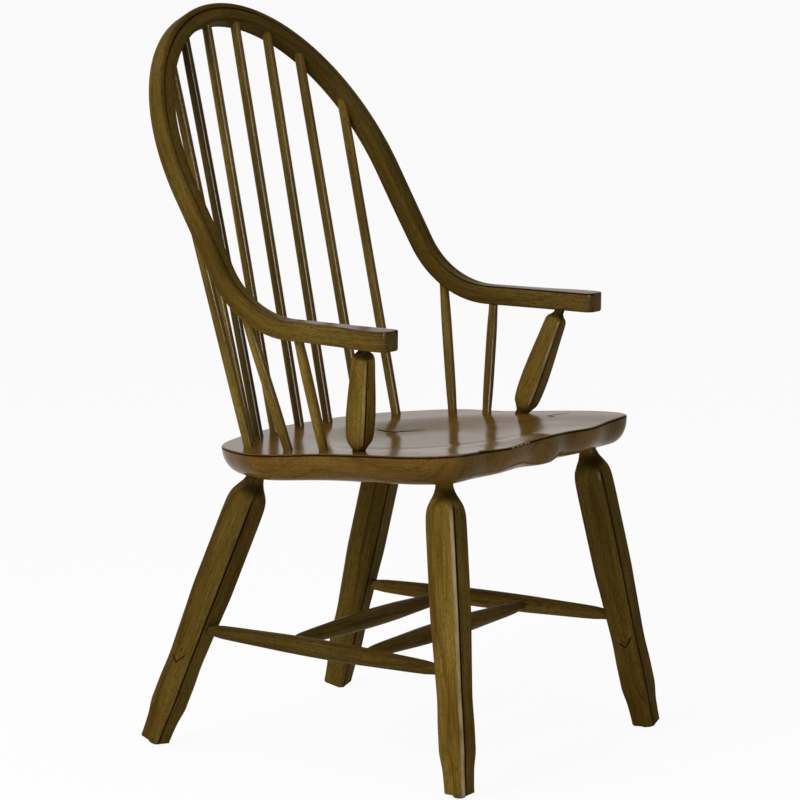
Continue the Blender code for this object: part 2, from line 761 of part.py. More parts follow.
def build_legs(pieces, lines, wood, plastic):
    for name, (foot, top, cut) in lines.items():
        along = (top - foot).normalized()
        stations = leg_stations((top - foot).length, LEG_STOUTNESS[name.split("_")[0]])
        leg = faceted_piece(
            f"leg_{name}", stations, LEG_CHAMFER, foot, top, wood, LEG_TWIST[name], cut
        )
        pieces[leg.name] = leg
        tenon_end = top + along * (LEG_TENON_DEPTH + SHY)
        mouth = top - along * LEG_SOCKET_MOUTH
        drill(pieces["seat"], leg.name, tenon_end, mouth, LEG_NECK_RADIUS + FIT)
        hole = foot + cut * (NAIL_LENGTH + NAIL_SHY)
        drill(leg, "glide_nail", hole, foot - cut * GLIDE_HEIGHT, NAIL_RADIUS + FIT)
        build_glide(pieces, name, foot, cut, plastic)


def build_glide(pieces, name, foot, cut, look):
    """A nail-on glide under a foot, its top face a hair below the wood."""
    flat = GLIDE_RADIUS - GLIDE_EDGE
    profile = [(0.0, flat)]
    for turn in (30, 60, 90):
        angle = math.radians(turn)
        height = GLIDE_EDGE * (1 - math.cos(angle))
        profile.append((height, flat + GLIDE_EDGE * math.sin(angle)))
    seat = GLIDE_HEIGHT - FIT
    profile += [(seat, GLIDE_RADIUS), (seat, NAIL_RADIUS)]
    profile += [(GLIDE_HEIGHT + NAIL_LENGTH, NAIL_RADIUS)]
    full = f"glide_{name}"
    start = foot - cut * GLIDE_HEIGHT
    pieces[full] = round_piece(full, profile, start, start + cut, look)


def at_height(line, height):
    foot, top, _ = line
    return foot.lerp(top, (height - foot.z) / (top.z - foot.z))


def stretcher_profile(length, tenon, near, middle, end_run):
    """A round piece that swells from its tenons to its middle."""
    half = length / 2
    rise = half - end_run
    lower = [
        (0.0, tenon),
        (end_run, tenon),
        (end_run + rise * 0.10, near),
        (end_run + rise * 0.45, near + (middle - near) * 0.55),
        (end_run + rise * 0.75, near + (middle - near) * 0.92),
    ]
    upper = [(length - distance, radius) for distance, radius in lower[::-1]]
    return lower + [(half, middle)] + upper


def build_stretchers(pieces, lines, look):
    axes = {}
    for side_name in SIDES:
        name = f"side_stretcher_{side_name}"
        start = at_height(lines[f"front_{side_name}"], STRETCHER_FRONT_HEIGHT)
        end = at_height(lines[f"back_{side_name}"], STRETCHER_BACK_HEIGHT)
        profile = stretcher_profile(
            (end - start).length,
            STRETCHER_END_RADIUS,
            STRETCHER_NEAR_LEG_RADIUS,
            SIDE_STRETCHER_RADIUS,
            STRETCHER_RUN,
        )
        pieces[name] = round_piece(name, profile, start, end, look)
        axes[side_name] = (start, end)
        along = (end - start).normalized()
        radius = STRETCHER_END_RADIUS + FIT
        for leg, place, way in (("front", start, along), ("back", end, -along)):
            target = pieces[f"leg_{leg}_{side_name}"]
            drill(target, name, place - way * SHY, place + way * STRETCHER_RUN, radius)
    build_cross_stretchers(pieces, axes, look)


def build_cross_stretchers(pieces, axes, look):
    for place, offset in (("front", -CROSS_HALF_SPACING), ("back", CROSS_HALF_SPACING)):
        name = f"cross_stretcher_{place}"
        ends = {}
        for side_name, (start, end) in axes.items():
            along = (end - start).normalized()
            ends[side_name] = start.lerp(end, 0.5) + along * offset
        start, end = ends["right"], ends["left"]
        across = (end - start).normalized()
        begin, finish = start + across * CROSS_SHY, end - across * CROSS_SHY
        profile = stretcher_profile(
            (finish - begin).length,
            CROSS_END_RADIUS,
            CROSS_NEAR_RADIUS,
            CROSS_STRETCHER_RADIUS,
            CROSS_RUN - CROSS_SHY,
        )
        pieces[name] = round_piece(name, profile, begin, finish, look)
        for side_name, place, way in (("right", begin, across), ("left", finish, -across)):
            target = pieces[f"side_stretcher_{side_name}"]
            mouth = place + way * CROSS_RUN
            drill(target, name, place - way * SHY, mouth, CROSS_END_RADIUS + FIT)


def build():
    clear_scene()
    wood = make_material("stained_wood", WOOD_COLOUR, 0.38)
    seat_wood = make_material("seat_wood", SEAT_COLOUR, 0.30)
    plastic = make_material("glide_plastic", GLIDE_COLOUR, 0.45)
    pieces = {"seat": build_seat(seat_wood), "bow": build_bow(wood)}
    build_spindles(pieces, wood)
    build_arm_spindles(pieces, wood)
    build_posts(pieces, wood)
    lines = leg_lines()
    build_legs(pieces, lines, wood, plastic)
    build_stretchers(pieces, lines, wood)


build()
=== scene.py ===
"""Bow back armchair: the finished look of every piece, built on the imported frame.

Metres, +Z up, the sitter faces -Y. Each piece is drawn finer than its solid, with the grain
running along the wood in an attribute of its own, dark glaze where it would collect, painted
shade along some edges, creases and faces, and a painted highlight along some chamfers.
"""

import math
from collections import namedtuple

import bmesh
import bpy
from mathutils import Matrix, Vector, noise


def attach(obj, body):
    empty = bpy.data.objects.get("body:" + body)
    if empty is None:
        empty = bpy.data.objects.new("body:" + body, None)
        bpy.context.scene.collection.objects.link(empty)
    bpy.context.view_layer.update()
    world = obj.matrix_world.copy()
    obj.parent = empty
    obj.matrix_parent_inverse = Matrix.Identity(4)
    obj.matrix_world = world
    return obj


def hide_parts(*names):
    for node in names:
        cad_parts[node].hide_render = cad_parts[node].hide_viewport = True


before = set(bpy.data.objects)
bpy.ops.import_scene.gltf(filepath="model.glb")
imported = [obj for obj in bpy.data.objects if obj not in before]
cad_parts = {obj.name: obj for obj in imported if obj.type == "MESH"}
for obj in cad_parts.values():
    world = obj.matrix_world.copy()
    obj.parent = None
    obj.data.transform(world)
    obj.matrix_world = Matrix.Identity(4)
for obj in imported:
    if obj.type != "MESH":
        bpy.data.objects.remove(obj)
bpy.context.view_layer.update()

# Seat
SEAT_HEIGHT = 0.4638
SEAT_SLOPE = math.radians(3.58)
SEAT_THICKNESS = 0.042
SEAT_FRONT = -0.2983
SEAT_BACK = 0.2102
SEAT_FRONT_HALF = 0.267
SEAT_WAIST_HALF = 0.2555
SEAT_REAR_HALF = 0.272
SEAT_EDGE_RADIUS = 0.0026
SEAT_UNDERCUT = 0.038
SEAT_SIDE_FULLNESS = 0.8
PROW_UNDERCUT = 0.022
PROW_HALF = 0.0205
DISH_CENTRE = -0.0808
DISH_HALF_WIDTH = 0.212
DISH_HALF_LENGTH = 0.190
DISH_DEPTH = 0.0105
PROW_RISE = 0.002
PROW_RISE_WIDTH = 0.035
THIGH_DROP = 0.0015
THIGH_PLACE = 0.11
THIGH_WIDTH = 0.04
RIM_RISE = 0.0025
RIM_START_HALF = 0.15
RIM_FULL_HALF = 0.23
RIM_REAR = 0.05
RIM_FRONT = -0.20
SEAT_POINTS = 220

# Bow
BACK_LEAN = math.radians(29.54)
ARM_HEIGHT = 0.6614
BACK_CROSSING = 0.0552
ARM_PITCH = math.radians(0.69)
ARM_TIP = -0.2028
BEND_RADIUS = 0.133
SPRING_HEIGHT = 0.8394
CREST_HEIGHT = 1.0962
BOW_HALF_WIDTH = 0.2778
BOW_SIDE_WIDTH = 0.031
BOW_CREST_WIDTH = 0.0295
BOW_THICKNESS = 0.0268
ARM_THICKNESS = 0.029
BOW_EDGE_RADIUS = 0.0034
HAND_CORNER_RADIUS = 0.012
ARM_FLARE = (
    (0.000, 0.0252, 0.0107),
    (0.018, 0.0262, 0.0107),
    (0.042, 0.0245, 0.0107),
    (0.082, 0.0150, 0.0100),
    (0.121, 0.0092, 0.0082),
    (0.170, 0.0042, 0.0062),
    (0.215, 0.0008, 0.0045),
    (0.290, 0.0000, 0.0025),
    (0.400, 0.0000, 0.0000),
)
BEAD_WIDTH = 0.0095
SCORE_WIDTH = 0.0030
SCORE_DEPTH = 0.0015
SCORE_START = 0.160
SCORE_FULL = 0.220
HAND_GLAZE = 0.12
ARM_EDGE_SHADE = 2.2  # how much more painted shade lies on the arms' rounded top edges than elsewhere

# Spindles and posts
SPINDLE_RADIUS = 0.0077
SPINDLE_TENON_RADIUS = 0.0074
SPINDLE_SWELL = 0.075
SPINDLE_ROW_RADIUS = 0.3046
SPINDLE_ROW_INSET = 0.0318
SPINDLE_SEAT_ANGLES = (6.2, 17.45, 28.7, 39.95)
SPINDLE_BOW_PLACES = ((8.55, -0.0037), (25.5, -0.0026), (41.6, 0.0), (62.8, 0.0066))
ARM_SPINDLE_RADIUS = 0.0080
ARM_SPINDLE_TENON_RADIUS = 0.0070
ARM_SPINDLE_PLACES = {
    "front": ((0.0520, 0.2545), (0.0088, 0.1732)),
    "rear": ((0.0515, 0.3170), (0.0123, 0.2540)),
}
POST_PLACE = ((0.0510, 0.1925), (0.0095, 0.0570))
POST_LOWER_SIDES = (
    (0.004, 0.0236, 0.8),
    (0.009, 0.0272, 0.35),
    (0.014, 0.0304, 0.1),
    (0.030, 0.0330, 0.0),
    (0.052, 0.0340, 0.0),
    (0.078, 0.0329, 0.0),
)
POST_UPPER_SIDES = (
    (0.034, 0.0290, 0.0),
    (0.012, 0.0274, 0.1),
    (0.006, 0.0248, 0.45),
    (0.002, 0.0175, 0.9),
)
POST_CHAMFER = 0.004
POST_LOWER_NECK = 0.0097
POST_UPPER_NECK = 0.0073
POST_TENON_DEPTH = 0.016
SEAT_SOCKET_DEPTH = 0.018
BOW_SOCKET_DEPTH = 0.011
SEAT_RUN = 0.006
BOW_RUN = 0.006

# Legs
FRONT_LEG_INSET = (0.0693, 0.0647)
FRONT_LEG_SPLAY = (0.0662, -0.0694)
BACK_LEG_INSET = (0.0979, 0.1000)
BACK_LEG_SPLAY = (0.0673, 0.1423)
LEG_LOWER_SIDES = (
    (0.000, 0.0340),
    (0.030, 0.0357),
    (0.062, 0.0410),
    (0.090, 0.0410),
    (0.130, 0.0396),
)
LEG_MIDDLE_SIDES = ((0.38, 0.0411), (0.48, 0.0433), (0.58, 0.0454))
LEG_UPPER_SIDES = (
    (0.118, 0.0464, 0.0),
    (0.078, 0.0464, 0.0),
    (0.052, 0.0458, 0.0),
    (0.038, 0.0440, 0.15),
    (0.027, 0.0385, 0.45),
    (0.016, 0.0305, 0.85),
)
LEG_STOUTNESS = {"front": 1.035, "back": 1.045}
LEG_TWIST = {"front_right": 3.5, "front_left": 5.0, "back_right": -7.0, "back_left": 7.0}
LEG_CHAMFER = 0.005
LEG_NECK_RADIUS = 0.0128
LEG_NECK_LENGTH = 0.005
LEG_TENON_DEPTH = 0.020
FOOT_RISE = {
    "front_right": (0.0, 0.0),
    "front_left": (0.28, 0.0),
    "back_right": (0.08, 0.36),
    "back_left": (0.22, 0.28),
}
GLIDE_RADIUS = 0.0095
GLIDE_HEIGHT = 0.007
GLIDE_EDGE = 0.0035

# Stretchers
STRETCHER_FRONT_HEIGHT = 0.173
STRETCHER_BACK_HEIGHT = 0.179
STRETCHER_END_RADIUS = 0.0082
STRETCHER_NEAR_LEG_RADIUS = 0.0100
SIDE_STRETCHER_RADIUS = 0.0140
CROSS_STRETCHER_RADIUS = 0.0142
CROSS_END_RADIUS = 0.0062
CROSS_NEAR_RADIUS = 0.0090
CROSS_HALF_SPACING = 0.067
STRETCHER_RUN = 0.0290
CROSS_RUN = 0.018

SIDES = {"right": -1, "left": 1}
TURNED_SIDES = 32
FINE_STEP = 0.004  # between the rings of a straight piece
EDGE_SOFTNESS = 0.00035  # how far the edges of a chamfer are rubbed down
MERGE_DISTANCE = 1e-6
WAVER = 0.012  # share of its radius by which a turned piece is out of true
WAVER_RATE = 9.0  # how quickly that changes along it
SHARP_ANGLE = math.radians(40)  # steeper edges are drawn sharp


def smoothstep(low, high, value):
    share = min(1.0, max(0.0, (value - low) / (high - low)))
    return share * share * (3.0 - 2.0 * share)


def slope_at(before, here, after, axis):
    """Level at a peak, at a dip and at the ends, so that nothing overshoots."""
    if before is here or after is here:
        return 0.0
    left = (here[axis] - before[axis]) / (here[0] - before[0])
    right = (after[axis] - here[axis]) / (after[0] - here[0])
    if left * right <= 0:
        return 0.0
    return 2 * left * right / (left + right)


def cubic(start, end, leaving, arriving, share):
    """From start to end, with the slopes leaving and arriving at its ends."""
    return (
        start * ((1 + 2 * share) * (1 - share) ** 2)
        + leaving * (share * (1 - share) ** 2)
        + end * (share**2 * (3 - 2 * share))
        - arriving * (share**2 * (1 - share))
    )


def through(points, value):
    """The curve through points of rising first coordinate, at value; flat beyond its ends."""
    if value <= points[0][0]:
        return points[0][1:]
    if value >= points[-1][0]:
        return points[-1][1:]
    index = max(i for i in range(len(points) - 1) if points[i][0] <= value)
    before, start, end, after = (
        points[max(0, min(len(points) - 1, i))] for i in range(index - 1, index + 3)
    )
    span = end[0] - start[0]
    share = (value - start[0]) / span
    found = []
    for axis in range(1, len(start)):
        leaving = slope_at(before, start, end, axis) * span
        arriving = slope_at(start, end, after, axis) * span
        found.append(cubic(start[axis], end[axis], leaving, arriving, share))
    return tuple(found)


def facing(start, end):
    """The place and turn that put local Z along start to end, with local X kept across."""
    along = (end - start).normalized()
    back = along.cross(Vector((1, 0, 0))).normalized()
    across = back.cross(along)
    turn = Matrix((across, back, along)).transposed()
    return Matrix.Translation(start) @ turn.to_4x4()


# A point of a piece, with its place in the wood: across, across and along the grain. Glaze and
# shade is how much dark stain has settled there plus painted shade, and wear and highlight how
# much has been rubbed off plus a painted highlight.
Point = namedtuple("Point", "place grain glaze wear", defaults=(0.0, 0.0))


def wooden_shape():
    """An empty shape and the layers for its points' grain, glaze with painted shade, and wear with
    painted highlight.
    """
    shape = bmesh.new()
    layers = shape.verts.layers
    grain = layers.float_vector.new("grain")
    return shape, grain, layers.float.new("glaze"), layers.float.new("wear")


def drawn(node, loops, look):
    """A skin that starts as a flat round face and is extruded from loop to loop."""
    shape, grain, glaze, wear = wooden_shape()
    bmesh.ops.create_circle(shape, cap_ends=True, segments=len(loops[0]), radius=0.01)
    shape.verts.ensure_lookup_table()
    rim = list(shape.verts)
    for number, loop in enumerate(loops):
        if number:
            edges = [shape.edges.get((a, b)) for a, b in zip(rim, rim[1:] + rim[:1])]
            made = set(bmesh.ops.extrude_edge_only(shape, edges=edges)["geom"])
            fresh = []
            for corner in rim:
                fresh += [
                    edge.other_vert(corner)
                    for edge in corner.link_edges
                    if edge.other_vert(corner) in made
                ]
            rim = fresh
        for corner, point in zip(rim, loop):
            corner.co = point.place
            corner[grain] = point.grain
            corner[glaze] = point.glaze
            corner[wear] = point.wear
    bmesh.ops.contextual_create(shape, geom=rim)
    dressed(node, shape, look)


def wood_place(x, y, distance, seed):
    """Each straight piece is cut from its own place in the wood."""
    return Vector((x + seed, y + seed * 0.37, distance + seed * 0.71))


def spun(shape, outline):
    """Spins an outline of (radius, height) points about Z."""
    row = [shape.verts.new((radius, 0.0, height)) for radius, height in outline]
    edges = [shape.edges.new(pair) for pair in zip(row, row[1:])]
    bmesh.ops.spin(
        shape,
        geom=row + edges,
        cent=(0, 0, 0),
        axis=(0, 0, 1),
        angle=math.tau,
        steps=TURNED_SIDES,
        use_merge=True,
    )
    bmesh.ops.remove_doubles(shape, verts=shape.verts, dist=MERGE_DISTANCE)


def turned(node, profile, start, end, glaze_at, seed):
    """A spun piece from a profile of heights and radii, put along start to end."""
    shape, grain, glaze, _ = wooden_shape()
    height = profile[0][0]
    outline = [(0.0, height)]
    while height < profile[-1][0]:
        outline.append((through(profile, height)[0], height))
        height += FINE_STEP
    outline += [(profile[-1][1], profile[-1][0]), (0.0, profile[-1][0])]
    spun(shape, outline)
    for corner in shape.verts:
        waver = noise.noise(Vector((seed, 0.0, corner.co.z * WAVER_RATE)))
        corner[grain] = wood_place(*corner.co, seed)
        corner[glaze] = glaze_at(corner.co.z)
        corner.co.xy *= 1.0 + WAVER * waver
    bmesh.ops.transform(shape, matrix=facing(start, end), verts=shape.verts)
    dressed(node, shape, stained_wood)


def finished(name, shape):
    bmesh.ops.recalc_face_normals(shape, faces=shape.faces)
    mesh = bpy.data.meshes.new(name)
    shape.to_mesh(mesh)
    shape.free()
    mesh.shade_smooth()
    mesh.set_sharp_from_angle(angle=SHARP_ANGLE)
    made = bpy.data.objects.new(name, mesh)
    bpy.context.scene.collection.objects.link(made)
    return made


# How much darker each kind of piece is coloured, partly its own tone and partly painted shade, and
# how thick its lacquer is
STAIN_AND_SHADE = {"leg_back": 0.70, "leg_front_left": 0.50, "cross": 0.75}
STAIN_AND_SHADE |= {"side_stretcher_right": 1.0, "side_stretcher_left": 0.35}
STAIN_AND_SHADE |= {"back_spindle_3": 1.1, "back_spindle_6": 0.15, "arm_post_right": 0.05}
LACQUER = {"leg": 0.20, "arm_post": 0.40, "side": 0.45, "cross": 0.45}
# For the bow by the distance behind the hand: how much darker the sitter's right is, the left,
# lacquer
BOW_TONES = ((0.10, 0.70, 0.60, 1.3), (0.30, 0.75, 0.95, 0.25), (1.10, 0.70, 0.80, 0.14))


def of_kind(table, node, usual):
    return next((value for start, value in table.items() if node.startswith(start)), usual)


def installed(piece, node, look):
    """The piece takes the place of the solid called node."""
    piece.data.materials.append(look)
    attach(piece, "root")
    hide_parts(node)


def dressed(node, shape, look):
    """A wooden piece gets its darkening, part stain and part painted shade, and its lacquer, and
    its place.
    """
    piece = finished(f"{node}_wood", shape)
    corners = piece.data.vertices
    stains_and_shade = [of_kind(STAIN_AND_SHADE, node, 0.0)] * len(corners)
    lacquers = [of_kind(LACQUER, node, 1.0)] * len(corners)
    if node == "bow":
        tones = [through(BOW_TONES, corner.co.y - ARM_TIP) for corner in corners]
        stains_and_shade = [tone[corner.co.x > 0] for tone, corner in zip(tones, corners)]
        lacquers = [tone[2] for tone in tones]
    for name, values in (("stain_and_shade", stains_and_shade), ("lacquer", lacquers)):
        piece.data.attributes.new(name, "FLOAT", "POINT").data.foreach_set("value", values)
    installed(piece, node, look)


# Materials


class Wire:
    """One output in a material, so that its arithmetic reads as it is written."""

    def __init__(self, look, socket):
        self.look = look
        self.socket = socket

    def arithmetic(self, operation, first, second):
        settings = {"operation": operation}
        return self.look.node("ShaderNodeMath", settings, {0: first, 1: second})

    def __add__(self, other):
        return self.arithmetic("ADD", self, other)

    def __sub__(self, other):
        return self.arithmetic("SUBTRACT", self, other)

    def __rsub__(self, other):
        return self.arithmetic("SUBTRACT", other, self)

    def __mul__(self, other):
        return self.arithmetic("MULTIPLY", self, other)

    def __truediv__(self, other):
        return self.arithmetic("DIVIDE", self, other)

    def or_more(self, other):
        return self.arithmetic("MAXIMUM", self, other)

    __radd__ = __add__
    __rmul__ = __mul__


class Look:
    """A material whose nodes are added one by one."""

    def __init__(self, name):
        self.made = bpy.data.materials.new(name)
        self.made.use_nodes = True
        self.tree = self.made.node_tree
        self.shader = self.tree.nodes["Principled BSDF"]

    def node(self, kind, settings=None, sockets=None, output=0):
        """Adds a node with its settings and the values or wires of its sockets."""
        added = self.tree.nodes.new(kind)
        for name, value in (settings or {}).items():
            setattr(added, name, value)
        for socket, value in (sockets or {}).items():
            self.plug(added.inputs[socket], value)
        return Wire(self, added.outputs[output])

    def plug(self, socket, value):
        if isinstance(value, Wire):
            self.tree.links.new(value.socket, socket)
        else:
            socket.default_value = value

    def shade(self, sockets):
        """Puts values or wires on the shader's sockets."""
        for socket, value in sockets.items():
            self.plug(self.shader.inputs[socket], value)

    def attribute(self, name, output):
        return self.node("ShaderNodeAttribute", {"attribute_name": name}, output=output)

    def vectors(self, operation, first, second, output=0):
        settings = {"operation": operation}
        return self.node("ShaderNodeVectorMath", settings, {0: first, 1: second}, output)

    def stretched(self, place, rates):
        return self.vectors("MULTIPLY", place, rates)

    def clouds(self, place, scale=1.0, detail=2.0, roughness=0.5):
        sockets = {"Vector": place, "Scale": scale, "Detail": detail, "Roughness": roughness}
        return self.node("ShaderNodeTexNoise", {}, sockets, "Fac")

    def between(self, value, low, high, start=0.0, end=1.0):
        """start below low and end above high, with an eased step between."""
        return self.node(
            "ShaderNodeMapRange",
            {"interpolation_type": "SMOOTHSTEP"},
            {"Value": value, "From Min": low, "From Max": high, "To Min": start, "To Max": end},
        )

    def mixed(self, share, first, second):
        settings = {"data_type": "RGBA", "clamp_factor": True}
        return self.node("ShaderNodeMix", settings, {0: share, 6: first, 7: second}, 2)

    def scratch(self, grain, start, end, width):
        """1 along a scratch from start to end in the wood, 0 beyond its width."""
        reach = Vector(end) - Vector(start)
        offset = self.vectors("SUBTRACT", grain, start)
        along = self.vectors("DOT_PRODUCT", offset, reach, "Value")
        share = self.node("ShaderNodeClamp", {}, {"Value": along / reach.length_squared})
        away = self.vectors("DISTANCE", offset, self.vectors("MULTIPLY", share, reach), "Value")
        return self.between(away, 0.35 * width, width, 1.0, 0.0)

    def bumped(self, height, distance, strength):
        sockets = {"Height": height, "Distance": distance, "Strength": strength}
        return self.node("ShaderNodeBump", {}, sockets)


# How finely each figure of the wood repeats: across, across and along the grain
DRIFT_RATES = (22.0, 22.0, 5.0)
RING_RATES = (1.0, 1.0, 0.12)
STREAK_RATES = (520.0, 520.0, 14.0)
FLECK_RATES = (1150.0, 1150.0, 130.0)
SPECK_RATES = (1500.0, 1500.0, 420.0)
SETTLE_RATES = (160.0, 160.0, 30.0)
SWELL_RATES = (20.0, 20.0, 12.0)
BLOTCH_RATE = 9.0
RING_SCALE = 24.0
REDDISH = (0.150, 0.068, 0.006, 1)
PORE_BROWN = (0.016, 0.008, 0.002, 1)
STAIN_AND_SHADE_BROWN = (0.010, 0.006, 0.002, 1)
GLAZE_AND_SHADE_BROWN = (0.012, 0.006, 0.002, 1)
BARE_WOOD_AND_HIGHLIGHT = (0.42, 0.33, 0.20, 1)
GRAIN_RELIEF = 0.0006
GRAIN_RELIEF_STRENGTH = 0.7
LACQUER_IOR = 1.12


def wood_look(slot, light, dark, finish, scratches):
    """Stained open-pored wood: growth rings, streaks and pores under lacquer, with dark glaze and
    painted shade in the low places and on some edges, scratches, and arrises lightened by wear and
    by a painted highlight."""
    look = Look(f"{slot}_finish")
    grain = look.attribute("grain", "Vector")
    glaze = look.attribute("glaze", "Fac")
    wear = look.attribute("wear", "Fac")
    stain_and_shade = look.attribute("stain_and_shade", "Fac")
    lacquer = look.attribute("lacquer", "Fac")

    drift = look.clouds(look.stretched(grain, DRIFT_RATES), detail=3.0)
    rings = look.node(
        "ShaderNodeTexWave",
        {"wave_type": "RINGS", "rings_direction": "Z", "wave_profile": "SAW"},
        {
            "Vector": look.stretched(grain, RING_RATES),
            "Scale": RING_SCALE,
            "Distortion": 5.0,
            "Detail": 2.0,
            "Detail Scale": 0.6,
        },
        "Fac",
    )
    streaks = look.clouds(look.stretched(grain, STREAK_RATES), detail=3.0, roughness=0.6)
    fleck = look.clouds(look.stretched(grain, FLECK_RATES), detail=1.0)
    speck = look.clouds(look.stretched(grain, SPECK_RATES), detail=1.0)
    pores = look.between(fleck, 0.57, 0.66) * look.between(drift, 0.30, 0.60, 0.30, 1.0)
    pores = pores.or_more(look.between(speck, 0.63, 0.70))
    blotch = look.clouds(grain, BLOTCH_RATE, 3.0)
    arcs = look.between(rings, 0.72, 0.98)

    tone = 0.50 * drift + 0.45 * streaks - finish["rings"] * arcs
    colour = look.mixed(look.between(tone, 0.28, 0.68), dark, light)
    colour = look.mixed(look.between(blotch, 0.40, 0.75, 0.0, 0.30), colour, REDDISH)
    colour = look.mixed(finish["pores"] * pores, colour, PORE_BROWN)
    # Per piece darkening, part stain and part painted shade
    colour = look.mixed(0.55 * stain_and_shade, colour, STAIN_AND_SHADE_BROWN)
    settle = look.clouds(look.stretched(grain, SETTLE_RATES), detail=3.0)
    scored = look.scratch(grain, *scratches[0])
    for scratch in scratches[1:]:
        scored = scored.or_more(look.scratch(grain, *scratch))
    # Glaze, painted shade on edges, creases and faces, and scratches darken the colour and thin the
    # lacquer
    low = (glaze + 0.30 * settle - 0.15).or_more(scored)
    glazed_and_shaded = look.between(low, 0.0, 0.95)
    colour = look.mixed(glazed_and_shaded, colour, GLAZE_AND_SHADE_BROWN)
    # Wear along the arrises, partly a painted highlight, lightens the colour
    rubbed_and_highlit = look.between(wear * (0.4 + settle), 0.25, 0.75, 0.0, 0.8)
    colour = look.mixed(rubbed_and_highlit, colour, BARE_WOOD_AND_HIGHLIGHT)
    look.shade({"Base Color": colour, "Roughness": 0.45 + 0.10 * streaks})

    swell = look.clouds(look.stretched(grain, SWELL_RATES), detail=1.0)
    height = finish["waves"] * swell + 0.05 * streaks - 0.25 * pores
    coat = finish["coat"] * lacquer * (1.0 - 0.85 * glazed_and_shaded)
    look.shade({"Normal": look.bumped(height, GRAIN_RELIEF, GRAIN_RELIEF_STRENGTH)})
    look.shade({"Coat Weight": coat, "Coat Roughness": finish["polish"]})
    look.shade({"Coat IOR": LACQUER_IOR, "Specular IOR Level": 0.0})
    return look.made


def plastic_look():
    look = Look("glide_plastic_finish")
    grain = look.attribute("grain", "Vector")
    speckle = look.clouds(grain, 900.0, 3.0)
    scuff = look.clouds(look.stretched(grain, (150.0, 150.0, 700.0)), detail=3.0)
    colour = look.mixed(speckle, (0.014, 0.009, 0.007, 1), (0.040, 0.028, 0.022, 1))
    colour = look.mixed(look.between(scuff, 0.56, 0.72, 0.0, 0.5), colour, (0.10, 0.08, 0.065, 1))
    look.shade({"Base Color": colour, "Roughness": 0.32 + 0.25 * scuff})
    look.shade({"Normal": look.bumped(speckle, 0.0001, 0.6)})
    return look.made


LEG_SEEDS = {"front_right": 2.2, "front_left": 3.2, "back_right": 4.2, "back_left": 5.2}
# Painted shade: how much darker the front faces of the front legs are painted
LEG_FRONT_SHADE = {"front_right": 0.36, "front_left": 0.28}
# Wear along each leg's chamfers, partly a painted highlight, strongest on the sitter's right legs
LEG_WEAR_AND_HIGHLIGHT = {"front_right": 0.55, "front_left": 0.15, "back_right": 0.35, "back_left": 0.2}
# Scratches on a leg's outer face: the leg, then places front to back and above the foot
LEG_SCRATCH_PLACES = (
    ("back_right", (0.0090, 0.1332), (-0.0006, 0.1263), 0.0019),
    ("back_right", (-0.0006, 0.1263), (-0.0114, 0.1414), 0.0017),
    ("back_right", (0.0059, 0.1561), (0.0058, 0.1545), 0.0014),
    ("back_right", (-0.0015, 0.1481), (-0.0016, 0.1465), 0.0014),
    ("front_left", (0.0052, 0.1313), (-0.0029, 0.1246), 0.0019),
    ("front_left", (-0.0029, 0.1246), (-0.0157, 0.1399), 0.0017),
    ("front_left", (-0.0016, 0.1448), (-0.0017, 0.1430), 0.0015),
    ("front_left", (-0.0036, 0.1335), (-0.0037, 0.1325), 0.0014),
    ("front_left", (-0.0069, 0.1045), (-0.0070, 0.1035), 0.0014),
)
LEG_SCRATCH_FACE = -0.0205


def leg_scratches():
    found = []
    for leg, start, end, width in LEG_SCRATCH_PLACES:
        ends = [wood_place(LEG_SCRATCH_FACE, *place, LEG_SEEDS[leg]) for place in (start, end)]
        found.append((*ends, width))
    return found


glide_plastic = plastic_look()
stained_wood = wood_look(
    "stained_wood",
    (0.225, 0.146, 0.026, 1),
    (0.078, 0.043, 0.006, 1),
    {"rings": 0.08, "pores": 0.65, "waves": 0.35, "coat": 0.60, "polish": 0.20},
    leg_scratches(),
)

# Seat

SEAT_PLACE = Matrix.Translation((0, 0, SEAT_HEIGHT)) @ Matrix.Rotation(-SEAT_SLOPE, 4, "X")
OUTLINE_STEPS = 24  # between two corners of the outline
SEAT_RINGS = 46  # between the seat's middle and its rim
SIDE_RINGS = 16  # between the rim and the underside


def seat_point(across, along, below=0.0):
    return SEAT_PLACE @ Vector((across, along, -below))


def evenly(points, count):
    reached = [0.0]
    for start, end in zip(points, points[1:]):
        reached.append(reached[-1] + (end - start).length)
    chosen = []
    index = 0
    for step in range(count + 1):
        wanted = reached[-1] * step / count
        while index < len(points) - 2 and reached[index + 1] < wanted:
            index += 1
        share = (wanted - reached[index]) / (reached[index + 1] - reached[index])
        chosen.append(points[index].lerp(points[index + 1], min(1.0, share)))
    return chosen


